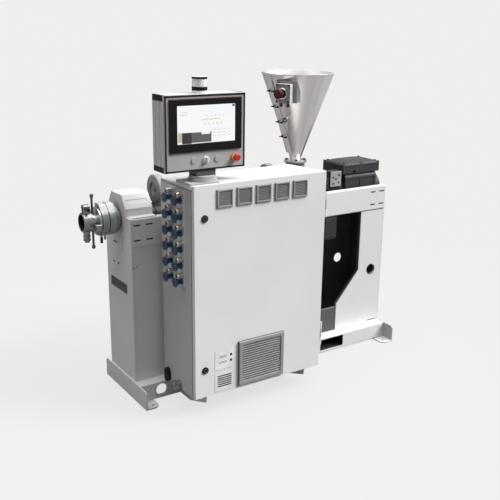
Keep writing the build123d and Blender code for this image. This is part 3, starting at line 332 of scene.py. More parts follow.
def tube(path: Sequence[Point], radius: float, steps: int) -> Surface:
    """Round bar: a circle carried along a path, square to the path at each point.

    Args:
        path: the points of its middle line.
        radius: the circle's radius.
        steps: points in each circle.

    Returns:
        A closed surface.
    """
    path = np.asarray(path, float)
    run = np.gradient(path, axis=0)
    run /= np.linalg.norm(run, axis=1, keepdims=True)
    spread = path.max(0) - path.min(0)
    guide = np.eye(3)[int(np.argmin(spread))]
    u = np.cross(run, guide)
    u /= np.linalg.norm(u, axis=1, keepdims=True)
    v = np.cross(run, u)
    turn = polygon(steps, 1.0)
    return ring_stack(path[:, None] + radius * (turn[:, :1] * u[:, None] + turn[:, 1:] * v[:, None]))


def hex_bolt(at: Point, out: Point, size: float) -> Surface:
    """Hexagon head on a washer.

    Args:
        at: the place on the surface.
        out: the direction it faces.
        size: the thread size.

    Returns:
        The washer and the head.
    """
    washer = turned(at, out, ((-0.0005, 1.1 * size), (0.14 * size, 1.1 * size), (0.2 * size, 1.02 * size)), 24)
    seat = np.asarray(at) + 0.15 * size * np.asarray(out)
    head = plate(seat, out, polygon(6, 0.95 * size, 0.3), 0.65 * size, 0.08 * size)
    return Surface.join([washer, head])


def cap_screw(at: Point, out: Point, size: float) -> Surface:
    """Round head with a sunk middle.

    Args:
        at: the place on the surface.
        out: the direction it faces.
        size: the thread size.

    Returns:
        The head.
    """
    profile = ((-0.0005, 0.8 * size), (0.75 * size, 0.8 * size), (0.85 * size, 0.7 * size), (0.85 * size, 0.42 * size),
               (0.45 * size, 0.38 * size))
    return turned(at, out, profile, 18)


# Shader groups


class Sheet:
    """A small helper that adds nodes and links to one node tree."""

    def __init__(self, tree: bpy.types.NodeTree) -> None:
        """Keeps the tree."""
        self.tree = tree

    def feed(self, end: Socket, value: object) -> None:
        """Links an input to a socket, or sets it to a plain value.

        Args:
            end: the input.
            value: a socket, a number, a colour of three or a vector.
        """
        if isinstance(value, Socket):
            self.tree.links.new(value, end)
        else:
            end.default_value = (*value, 1.0) if end.type == "RGBA" else value

    def fill(self, made: Node, *inputs: object, **settings: object) -> Node:
        """Sets a node's properties and feeds its inputs.

        Args:
            made: the node.
            inputs: sockets or values of its first inputs, in order.
            settings: values of its own properties, or of its inputs when the name starts with in_.

        Returns:
            The node.
        """
        for key, value in settings.items():
            if key.startswith("in_"):
                self.feed(made.inputs[key[3:].replace("_", " ")], value)
            else:
                setattr(made, key, value)
        for end, value in zip(made.inputs, inputs):
            self.feed(end, value)
        return made

    def node(self, kind: str, *inputs: object, **settings: object) -> Node:
        """Adds one node of the named type and fills it in."""
        return self.fill(self.tree.nodes.new(kind), *inputs, **settings)

    def socket(self, kind: str, *inputs: object, take: object = 0, **settings: object) -> Socket:
        """Adds one node as node() does, and gives the output that take names."""
        return self.node(kind, *inputs, **settings).outputs[take]

    def math(self, kind: str, a: object, b: object) -> Socket:
        """Works out one sum of two sockets or numbers."""
        return self.socket("ShaderNodeMath", a, b, operation=kind)

    def times(self, a: object, b: object) -> Socket:
        """Multiplies two sockets or numbers."""
        return self.math("MULTIPLY", a, b)

    def vector(self, kind: str, *inputs: object, take: object = 0, **settings: object) -> Socket:
        """Works out one sum of vectors."""
        return self.socket("ShaderNodeVectorMath", *inputs, take=take, operation=kind, **settings)

    def mix(self, share: object, a: object, b: object) -> Socket:
        """Blends two colours.

        Args:
            share: socket or number, 0 for the first and 1 for the second.
            a: first colour or socket.
            b: second colour or socket.

        Returns:
            The colour's socket.
        """
        made = self.node("ShaderNodeMix", share, data_type="RGBA")
        self.feed(made.inputs[6], a)
        self.feed(made.inputs[7], b)
        return made.outputs[2]

    def spread(self, value: Socket, low: float, high: float, to_low: float = 0.0,
               to_high: float = 1.0) -> Socket:
        """Maps a range of values to another, without going past its ends.

        Args:
            value: the socket.
            low: value that gives to_low.
            high: value that gives to_high.
            to_low: result at low.
            to_high: result at high.

        Returns:
            The result's socket.
        """
        return self.socket("ShaderNodeMapRange", value, low, high, to_low, to_high)

    def place(self, take: str = "Object") -> Socket:
        """Gives the place of the shaded point."""
        return self.socket("ShaderNodeTexCoord", take=take)

    def parts(self, value: Socket) -> Sequence[Socket]:
        """Gives a vector's X, Y and Z."""
        return self.node("ShaderNodeSeparateXYZ", value).outputs

    def noise(self, at: Socket, scale: object, detail: float, rough: float = 0.5) -> Socket:
        """Gives soft noise over a vector."""
        return self.socket("ShaderNodeTexNoise", in_Vector=at, in_Scale=scale, in_Detail=detail, in_Roughness=rough)


class Effects:
    """Shader groups that several finishes share, each built once by the method of its name."""

    inputs = {"edge_wear": {"Width": 0.002, "Broken": 60.0}, "grain": {"Scale": 600.0, "Cloud": 3.0},
              "dust": {"Scale": 14.0}, "streaks": {"Along X": 1.0, "Along Y": 1.0, "Along Z": 1.0}}

    def __init__(self) -> None:
        """Starts with no group."""
        self._made: dict[str, bpy.types.NodeTree] = {}

    def group(self, name: str) -> bpy.types.NodeTree:
        """Gives the named group, built on first use.

        Args:
            name: the name of the group and of its method.

        Returns:
            The group.
        """
        if name not in self._made:
            tree = self._made[name] = bpy.data.node_groups.new(name, "ShaderNodeTree")
            for key, value in self.inputs[name].items():
                tree.interface.new_socket(key, in_out="INPUT", socket_type="NodeSocketFloat").default_value = value
            sheet = Sheet(tree)
            results = getattr(self, name)(sheet, sheet.node("NodeGroupInput").outputs)
            for key in results:
                tree.interface.new_socket(key, in_out="OUTPUT", socket_type="NodeSocketFloat")
            end = sheet.node("NodeGroupOutput")
            for key, socket in results.items():
                sheet.feed(end.inputs[key], socket)
        return self._made[name]

    def edge_wear(self, sheet: Sheet, given: Sockets) -> Sockets:
        """Mask of worn edges: where a rounded normal leaves the true one, broken up by noise.

        Args:
            sheet: the group's sheet.
            given: its input sockets.

        Returns:
            Its output sockets by name.
        """
        rounded = sheet.socket("ShaderNodeBevel", samples=4, in_Radius=given["Width"])
        normal = sheet.socket("ShaderNodeNewGeometry", take="Normal")
        edge = sheet.spread(sheet.vector("DOT_PRODUCT", rounded, normal, take="Value"), 0.995, 0.85)
        noise = sheet.noise(sheet.place(), given["Broken"], 4.0, 0.6)
        return {"Mask": sheet.times(edge, sheet.spread(noise, 0.35, 0.65))}

    def grain(self, sheet: Sheet, given: Sockets) -> Sockets:
        """Height and mask of an even grain, such as orange peel or moulded plastic.

        Args:
            sheet: the group's sheet.
            given: its input sockets.

        Returns:
            Its output sockets by name.
        """
        place = sheet.place()
        return {"Height": sheet.noise(place, given["Scale"], 2.0, 0.55),
                "Cloud": sheet.noise(place, given["Cloud"], 3.0, 0.55)}

    def dust(self, sheet: Sheet, given: Sockets) -> Sockets:
        """Mask of fine dust on faces that look up.

        Args:
            sheet: the group's sheet.
            given: its input sockets.

        Returns:
            Its output sockets by name.
        """
        level = sheet.parts(sheet.socket("ShaderNodeNewGeometry", take="Normal"))["Z"]
        noise = sheet.noise(sheet.place(), given["Scale"], 6.0, 0.65)
        return {"Mask": sheet.times(sheet.spread(level, 0.5, 1.0), sheet.spread(noise, 0.4, 0.75))}

    def streaks(self, sheet: Sheet, given: Sockets) -> Sockets:
        """Fine brush lines: noise that is stretched along one direction.

        Args:
            sheet: the group's sheet.
            given: its input sockets.

        Returns:
            Its output sockets by name.
        """
        scale = sheet.socket("ShaderNodeCombineXYZ", *(given[f"Along {key}"] for key in "XYZ"))
        return {"Lines": sheet.noise(sheet.vector("MULTIPLY", sheet.place(), scale), 1.0, 5.0, 0.6)}


EFFECTS = Effects()


# Finishes


class Finish:
    """Base of all finishes. A finish gives its material once and keeps it."""

    _made: dict[str, bpy.types.Material] = {}
    name: str

    def material(self) -> bpy.types.Material:
        """Builds the finish's material on first use.

        Returns:
            The material.
        """
        if self.name not in Finish._made:
            made = Finish._made[self.name] = bpy.data.materials.new(self.name)
            made.use_nodes = True
            self.dress(Sheet(made.node_tree), made.node_tree.nodes["Principled BSDF"])
        return Finish._made[self.name]

    def dress(self, sheet: Sheet, shader: Node) -> None:
        """Fills in the material's nodes.

        Args:
            sheet: the material's sheet.
            shader: its Principled node.
        """
        raise NotImplementedError

    def second_tone(self, sheet: Sheet, base: Socket) -> Socket:
        """Gives the base colour back, unless a finish lays a second tone over it.

        Args:
            sheet: the material's sheet.
            base: the colour so far.

        Returns:
            The colour's socket.
        """
        return base

    @staticmethod
    def effect(sheet: Sheet, name: str, **values: float) -> Sequence[Socket]:
        """Places a shared group.

        Args:
            sheet: the material's sheet.
            name: the group's name.
            values: its inputs, each with in_ before its name.

        Returns:
            The group's outputs.
        """
        return sheet.node("ShaderNodeGroup", node_tree=EFFECTS.group(name), **values).outputs

    @staticmethod
    def relief(sheet: Sheet, shader: Node, height: Socket, depth: float,
               rounding: float) -> None:
        """Adds a bump over softly rounded edges.

        Args:
            sheet: the material's sheet.
            shader: the Principled node.
            height: the bump's height.
            depth: its depth in metres.
            rounding: radius of the edges in metres.
        """
        bump = sheet.node("ShaderNodeBump", in_Strength=1.0, in_Distance=depth, in_Height=height)
        if rounding > 0.0:
            sheet.fill(bump, in_Normal=sheet.socket("ShaderNodeBevel", samples=4, in_Radius=rounding))
        sheet.fill(shader, in_Normal=bump.outputs[0])


@dataclass(frozen=True)
class Paint(Finish):
    """Powder coat with orange peel, faint clouds, worn edges and a little dust."""

    name: str
    colour: Colour
    gloss: float = 0.42
    worn: float = 0.12
    dusty: float = 0.1
    peel: float = 0.00005
    rounding: float = 0.0015
    mirror: float = 0.5

    def dress(self, sheet: Sheet, shader: Node) -> None:
        """Fills in the material's nodes.

        Args:
            sheet: the material's sheet.
            shader: its Principled node.
        """
        colour = np.array(self.colour)
        grain = self.effect(sheet, "grain", in_Scale=520.0, in_Cloud=2.3)
        wear = self.effect(sheet, "edge_wear", in_Width=0.0022, in_Broken=45.0)["Mask"]
        dust = self.effect(sheet, "dust", in_Scale=9.0)["Mask"]
        base = sheet.mix(sheet.spread(grain["Cloud"], *CLOUDS), colour * 0.97, np.minimum(colour * 1.02, 0.92))
        base = self.second_tone(sheet, base)
        base = sheet.mix(sheet.times(wear, self.worn), base, 0.55 * colour + 0.18)
        base = sheet.mix(sheet.times(dust, self.dusty), base, PAINT_DUST)
        rough = sheet.math("ADD", sheet.spread(grain["Cloud"], *CLOUDS, self.gloss - 0.04, self.gloss + 0.05),
                           sheet.times(dust, 0.15))
        sheet.fill(shader, in_Specular_IOR_Level=self.mirror, in_Base_Color=base, in_Roughness=rough)
        self.relief(sheet, shader, grain["Height"], self.peel, self.rounding)


@dataclass(frozen=True)
class SplitPaint(Paint):
    """Powder coat that takes a second colour past a place along one axis, as a lined or two-part housing does; on the
    right foot the second colour is painted shade.
    """

    other: Colour = (0.02, 0.02, 0.02)
    axis: int = 0
    at: float = 0.0
    beyond: bool = True

    def second_tone(self, sheet: Sheet, base: Socket) -> Socket:
        """Lays the second colour over the part beyond, or before, the place.

        Args:
            sheet: the material's sheet.
            base: the colour so far.

        Returns:
            The colour's socket.
        """
        part = sheet.parts(sheet.place())[self.axis]
        return sheet.mix(sheet.math("GREATER_THAN" if self.beyond else "LESS_THAN", part, self.at), base, self.other)


@dataclass(frozen=True)
class Metal(Finish):
    """Bare metal with brush lines along one direction, smears and brighter edges."""

    name: str
    colour: Colour
    gloss: float = 0.3
    lines: Point = (30.0, 30.0, 900.0)
    contrast: float = 0.1
    depth: float = 0.00001
    rounding: float = 0.001

    def dress(self, sheet: Sheet, shader: Node) -> None:
        """Fills in the material's nodes.

        Args:
            sheet: the material's sheet.
            shader: its Principled node.
        """
        colour = np.array(self.colour)
        along = dict(zip(("in_Along_X", "in_Along_Y", "in_Along_Z"), self.lines))
        lines = self.effect(sheet, "streaks", **along)["Lines"]
        cloud = self.effect(sheet, "grain", in_Scale=260.0, in_Cloud=7.0)["Cloud"]
        wear = self.effect(sheet, "edge_wear", in_Width=0.0016, in_Broken=90.0)["Mask"]
        base = sheet.mix(sheet.spread(lines, *CLOUDS), colour * (1 - self.contrast),
                         np.minimum(colour * (1 + self.contrast / 2), 0.98))
        base = sheet.mix(sheet.spread(cloud, 0.35, 0.75, 0.0, 0.25), base, colour * 0.82)
        base = sheet.mix(sheet.times(wear, 0.35), base, np.minimum(colour * 1.2, BRIGHTEST))
        base = self.second_tone(sheet, base)
        rough = sheet.math("ADD", sheet.spread(lines, *CLOUDS, self.gloss - 0.05, self.gloss + 0.06),
                           sheet.spread(cloud, 0.4, 0.7, -0.02, 0.06))
        sheet.fill(shader, in_Base_Color=base, in_Metallic=1.0, in_Roughness=rough)
        self.relief(sheet, shader, lines, self.depth, self.rounding)


@dataclass(frozen=True)
class ConeMetal(Metal):
    """Brushed sheet rolled to a cone, with painted light: upright bands of painted reflection round its axis, painted
    shade on the side away from the light and a painted dark reflection low on the lit edge.
    """

    middle: tuple[float, float] = (1.204, 0.05)
    light_side: Point = (0.836, -0.549, 0.0)
    painted_edge_heights: tuple[float, float] = (1.62, 1.34)
    painted_edge_shade: float = 0.72

    def second_tone(self, sheet: Sheet, base: Socket) -> Socket:
        """Scales the colour by the turn round the axis as painted light: painted shade away from the light side, soft
        bands of painted reflection, and a painted dark reflection low on the edge toward the light.

        Args:
            sheet: the material's sheet.
            base: the colour so far.

        Returns:
            The colour's socket.
        """
        moved = sheet.vector("SUBTRACT", sheet.place(), (*self.middle, 0.0))
        turn = sheet.vector("NORMALIZE", sheet.vector("MULTIPLY", moved, (1.0, 1.0, 0.0)))
        side = sheet.vector("DOT_PRODUCT", turn, self.light_side, take="Value")
        # painted shade away from the light side, times soft bands of painted reflection
        tone = sheet.times(sheet.spread(side, -0.95, 0.9, 0.8, 1.2),
                           sheet.spread(sheet.noise(turn, 2.6, 1.0), 0.35, 0.65, 0.9, 1.08))
        # painted dark reflection along the lower part of the edge on the light side
        rim = sheet.times(sheet.spread(side, 0.66, 0.86),
                          sheet.spread(sheet.parts(sheet.place())[2], *self.painted_edge_heights))
        tone = sheet.times(tone, sheet.math("SUBTRACT", 1.0, sheet.times(rim, self.painted_edge_shade)))
        return sheet.vector("SCALE", base, in_Scale=tone)


@dataclass(frozen=True)
class Plastic(Finish):
    """Moulded plastic or rubber with a fine grain and rubbed edges."""

    name: str
    colour: Colour
    gloss: float = 0.45
    grain: float = 0.00003
    coat: float = 0.0
    rounding: float = 0.0008
    mirror: float = 0.5

    def dress(self, sheet: Sheet, shader: Node) -> None:
        """Fills in the material's nodes.

        Args:
            sheet: the material's sheet.
            shader: its Principled node.
        """
        colour = np.array(self.colour)
        grain = self.effect(sheet, "grain", in_Scale=1400.0, in_Cloud=12.0)
        wear = self.effect(sheet, "edge_wear", in_Width=0.001, in_Broken=140.0)["Mask"]
        dust = self.effect(sheet, "dust", in_Scale=20.0)["Mask"]
        base = sheet.mix(sheet.spread(grain["Cloud"], *CLOUDS), colour * 0.9, np.minimum(colour * 1.1, BRIGHTEST))
        base = sheet.mix(sheet.times(wear, 0.3), base, np.minimum(colour * 1.5 + 0.04, BRIGHTEST))
        base = sheet.mix(sheet.times(dust, 0.12), base, PLASTIC_DUST)
        rough = sheet.spread(grain["Cloud"], *CLOUDS, self.gloss - 0.04, self.gloss + 0.06)
        sheet.fill(shader, in_Specular_IOR_Level=self.mirror, in_Base_Color=self.second_tone(sheet, base),
                   in_Roughness=rough)
        if self.coat > 0.0:
            sheet.fill(shader, in_Coat_Weight=self.coat, in_Coat_Roughness=0.08)
        self.relief(sheet, shader, grain["Height"], self.grain, self.rounding)


@dataclass(frozen=True)
class SlottedPlastic(Plastic):
    """Moulded plastic that darkens with depth behind its front: painted shade in the slots of a vent."""

    front: float = -0.536
    depth: float = 0.008
    shade: float = 0.9

    def second_tone(self, sheet: Sheet, base: Socket) -> Socket:
        """Darkens the colour from the front inward, as painted shade.

        Args:
            sheet: the material's sheet.
            base: the colour so far.

        Returns:
            The colour's socket.
        """
        # painted shade: darker the deeper behind the front
        deep = sheet.spread(sheet.parts(sheet.place())[1], self.front, self.front + self.depth, 0.0, self.shade)
        return sheet.mix(deep, base, (0.01, 0.01, 0.01))


@dataclass(frozen=True)
class Lit(Finish):
    """Part of a lit display: black glass that glows in one colour, a little uneven."""

    name: str
    colour: Colour
    glow: float = 0.9

    def dress(self, sheet: Sheet, shader: Node) -> None:
        """Fills in the material's nodes.

        Args:
            sheet: the material's sheet.
            shader: its Principled node.
        """
        cloud = self.effect(sheet, "grain", in_Scale=1600.0, in_Cloud=4.0)["Cloud"]
        colour = np.array(self.colour)
        sheet.fill(shader, in_Emission_Color=sheet.mix(sheet.spread(cloud, *CLOUDS), colour * 0.97, colour),
                   in_Emission_Strength=self.glow, in_Base_Color=(0.01, 0.01, 0.012),
                   in_Roughness=sheet.spread(cloud, *CLOUDS, 0.1, 0.16))


@dataclass(frozen=True)
class Clear(Finish):
    """Clear ribbed plastic of a signal lamp."""

    name: str
    colour: Colour
    gloss: float = 0.12
    clear: float = 0.75

    def dress(self, sheet: Sheet, shader: Node) -> None:
        """Fills in the material's nodes.

        Args:
            sheet: the material's sheet.
            shader: its Principled node.
        """
        cloud = self.effect(sheet, "grain", in_Scale=300.0, in_Cloud=20.0)["Cloud"]
        ribs = self.effect(sheet, "streaks", in_Along_X=6.0, in_Along_Y=6.0, in_Along_Z=420.0)["Lines"]
        sheet.fill(shader, in_Base_Color=sheet.mix(cloud, np.array(self.colour) * 0.97, self.colour),
                   in_Roughness=sheet.spread(cloud, *CLOUDS, self.gloss, self.gloss + 0.08),
                   in_Transmission_Weight=self.clear, in_IOR=1.2)
        self.relief(sheet, shader, ribs, 0.0001, 0.0)


class Finishes:
    """The finishes of this machine."""

    WHITE = Paint("machine_white", (0.79, 0.787, 0.776))
    FRAME = Paint("frame_white", FRAME_TONE, gloss=0.45, dusty=0.08)
    LINED = SplitPaint("lined_white", FRAME_TONE, gloss=0.45, axis=0, at=1.8365, beyond=False)
    POCKET = SplitPaint("pocket_white", FRAME_TONE, gloss=0.45, mirror=0.2, other=(0.015, 0.015, 0.015),
                        axis=1, at=-0.1925)
    CASE_GREY = Paint("panel_grey", (0.62, 0.62, 0.63), gloss=0.35, peel=0.00002)
    FRONT_GREY = Paint("panel_front_grey", (0.39, 0.39, 0.395), gloss=0.3, peel=0.00001)
    # Black coat of the bay's back panel; also painted shade inside the column's end window
    BLACK = Paint("black_coat_and_painted_shade", (0.085, 0.085, 0.086), gloss=0.5, mirror=0.2, worn=0.05, dusty=0.03)
    MOTOR = Paint("motor_coat", (0.036, 0.037, 0.039), gloss=0.5, peel=0.00012, mirror=0.3, dusty=0.04)
    DRIVE = Paint("drive_grey", (0.3, 0.3, 0.295), gloss=0.48, peel=0.0001)
    GEAR = Paint("gear_black", NEAR_BLACK, gloss=0.5, mirror=0.3, dusty=0.04, peel=0.0001)
    SWIVEL = Paint("swivel_grey", (0.45, 0.45, 0.44), gloss=0.4)
    NECK = SplitPaint("neck_grey", (0.42, 0.42, 0.41), gloss=0.4, other=NEAR_BLACK, axis=2, at=1.3625)
    # Cabinet shell given grey: painted shade for its seen left side, which lies in shade; the real paint is white
    SHELL = Paint("shell_white_painted_shade", (0.53, 0.527, 0.52))
    # Right foot: the grey above its base plate is painted shade on the shaded upright web
    FOOT = SplitPaint("foot_white_painted_shade", FRAME_TONE, gloss=0.45, other=(0.42, 0.42, 0.42), axis=2, at=0.012)
    LEG = SplitPaint("leg_white", FRAME_TONE, gloss=0.45, other=NEAR_BLACK, axis=1, at=-0.1215)
    COLLAR = Metal("collar_steel", (0.26, 0.26, 0.26), 0.45, (60.0, 300.0, 60.0), 0.12)
    LOWER = Paint("cover_grey", (0.2, 0.2, 0.2), gloss=0.5, mirror=0.3)
    ZINC = Metal("zinc_sheet", (0.62, 0.63, 0.63), 0.42, (20.0, 20.0, 20.0), 0.14)
    # Hopper metal carries painted reflections and painted shade round the cone
    HOPPER = ConeMetal("brushed_hopper", (0.9, 0.862, 0.848), 0.36, (260.0, 260.0, 6.0), 0.06)
    TUBE = Metal("tube_steel", (0.55, 0.53, 0.52), 0.3, (120.0, 120.0, 120.0), 0.08)
    STEEL = Metal("turned_steel", (0.45, 0.44, 0.43), 0.3, (900.0, 60.0, 60.0), 0.14)
    JACKET = Metal("jacket_steel", (0.1, 0.098, 0.095), 0.6, (700.0, 40.0, 40.0), 0.16)
    ROD = Metal("rod_steel", (0.16, 0.155, 0.15), 0.35, (60.0, 60.0, 600.0), 0.16)
    CLAMP = Metal("clamp_steel", (0.33, 0.325, 0.32), 0.3, (60.0, 500.0, 60.0), 0.22, 0.00003)
    BRIGHT = Metal("bright_steel", (0.74, 0.74, 0.74), 0.18, (120.0, 120.0, 120.0), 0.06)
    BAND = Metal("band_sheet", (0.33, 0.355, 0.345), 0.34, (40.0, 300.0, 40.0), 0.22, 0.00003)
    # Pale strip that stands for a painted highlight on the heater covers' tops
    HIGHLIGHT_STRIP = Metal("highlight_strip_steel", (0.9, 0.9, 0.9), 0.4, (40.0, 40.0, 40.0), 0.06)
    CAST = Metal("cast_aluminium", (0.5, 0.49, 0.48), 0.5, (160.0, 160.0, 160.0), 0.1, 0.0001)
    CHROME = Metal("chrome_trim", (0.82, 0.82, 0.83), 0.1, (80.0, 80.0, 80.0), 0.03)
    BRASS = Metal("plug_brass", (0.58, 0.54, 0.49), 0.25, (80.0, 80.0, 80.0), 0.1)
    SENSOR_GREY = Paint("sensor_grey", (0.23, 0.23, 0.228), gloss=0.45, peel=0.00002)
    SENSOR_BODY = SplitPaint("sensor_body", (0.8, 0.8, 0.79), gloss=0.4, peel=0.00002, axis=2, at=1.6695,
                             beyond=False)
    # Vent and louvre plastics carry painted shade that deepens inward in their slots
    VENT = SlottedPlastic("vent_grey", (0.33, 0.33, 0.33), 0.5, mirror=0.3, depth=0.009, shade=0.5)
    LOUVRE = SlottedPlastic("louvre_grey", (0.3, 0.3, 0.3), 0.5, mirror=0.3, front=-0.541, depth=0.012, shade=0.96)
    BLUE = Plastic("plug_blue", (0.022, 0.075, 0.165), 0.38)
    BLUE_DARK = Plastic("plug_blue_face", (0.012, 0.04, 0.09), 0.45)
    # Black rubber of gaskets, seals, glands, lips and bolt ends; also painted shade in the outlet's bore and under the
    # barrel cover's lip
    RUBBER = Plastic("black_rubber_and_painted_shade", (0.012, 0.012, 0.013), 0.62, 0.00006, mirror=0.2)
    SOFT_BLACK = Plastic("black_plastic", (0.012, 0.012, 0.013), 0.4, mirror=0.12)
    RED = Plastic("stop_red", (0.5, 0.015, 0.012), 0.25, 0.00001, 0.4)
    DARK_RED = Plastic("sensor_red", (0.085, 0.004, 0.006), 0.35, 0.00001, mirror=0.12)
    TRIM_RED = Plastic("trim_red", (0.16, 0.02, 0.022), 0.45, mirror=0.3)
    YELLOW = Plastic("switch_yellow", (0.8, 0.5, 0.03), 0.4)
    KNOB = Plastic("knob_white", (0.82, 0.82, 0.81), 0.35)
    LABEL = Plastic("plain_label", (0.8, 0.8, 0.79), 0.5)
    MARK = Plastic("label_mark", (0.02, 0.02, 0.02), 0.5, mirror=0.3)
    # Grey of the plates' printed outlines, also the painted highlight lines inside the vents
    OUTLINE = Plastic("outline_and_highlight_grey", (0.38, 0.38, 0.38), 0.5)
    GLASS = Plastic("display_glass", (0.004, 0.004, 0.0045), 0.15, 0.000001, mirror=0.3)
    LENS = Clear("clear_lens", (0.95, 0.95, 0.95), clear=0.15)
    PAGE = Lit("display_page", (0.97, 0.98, 1.0), 0.93)
    PAGE_DARK = Lit("display_block", (0.035, 0.035, 0.04), 0.8)
    PAGE_GREY = Lit("display_tile", (0.13, 0.13, 0.135), 0.8)
    PAGE_LINE = Lit("display_trace", (0.62, 0.66, 0.2), 0.85)
    PAGE_TAN = Lit("display_tan", (0.62, 0.56, 0.36), 0.85)
    PAGE_BLUE = Lit("display_corner", (0.05, 0.12, 0.4), 0.85)
    PAGE_SOFT = Lit("display_row", (0.74, 0.77, 0.84), 0.85)


def add_piece(name: str, parts: Sequence[Surface], finish: Finish,
              body: Body = Body.MACHINE) -> bpy.types.Object:
    """Makes one piece of the scene and lets it ride on its body.

    Args:
        name: the piece's name.
        parts: its surfaces.
        finish: its finish.
        body: the body that carries it.

    Returns:
        The piece.
    """
    surface = Surface.join(parts)
    mesh = bpy.data.meshes.new(name)
    mesh.from_pydata(surface.points.tolist(), [], surface.faces)
    work = bmesh.new()
    work.from_mesh(mesh)
    bmesh.ops.remove_doubles(work, verts=work.verts, dist=SAME_PLACE)
    bmesh.ops.recalc_face_normals(work, faces=work.faces)
    work.to_mesh(mesh)
    work.free()
    mesh.shade_smooth()
    mesh.set_sharp_from_angle(angle=math.radians(SHARP_ANGLE))
    mesh.materials.append(finish.material())
    piece = bpy.data.objects.new(name, mesh)
    bpy.context.scene.collection.objects.link(piece)
    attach(piece, body.value)
    LOG.info("piece %s with %d faces", name, len(mesh.polygons))
    return piece


def corners(node: str) -> tuple[np.ndarray, np.ndarray, np.ndarray]:
    """Looks up the box of a node of the frame.

    Args:
        node: its name.

    Returns:
        Its lowest corner, its highest corner and its middle.
    """
    low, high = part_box(node)
    low, high = np.array(low), np.array(high)
    return low, high, (low + high) / 2


# Sub-assemblies


class SubAssembly:
    """Base of the sub-assemblies. Each coats its nodes, named with spaces between them, and then adds its pieces."""

    coats: ClassVar[dict[Finish, str]] = {}

    def build(self) -> None:
        """Gives the nodes their finishes and adds the pieces."""
        for finish, names in self.coats.items():
            for name in names.split():
                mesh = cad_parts[name].data
                mesh.materials.clear()
                mesh.materials.append(finish.material())
                LOG.info("node %s is %s", name, finish.name)
        self.add_pieces()

    def add_pieces(self) -> None:
        """Adds the pieces that the solids don't have."""
        raise NotImplementedError


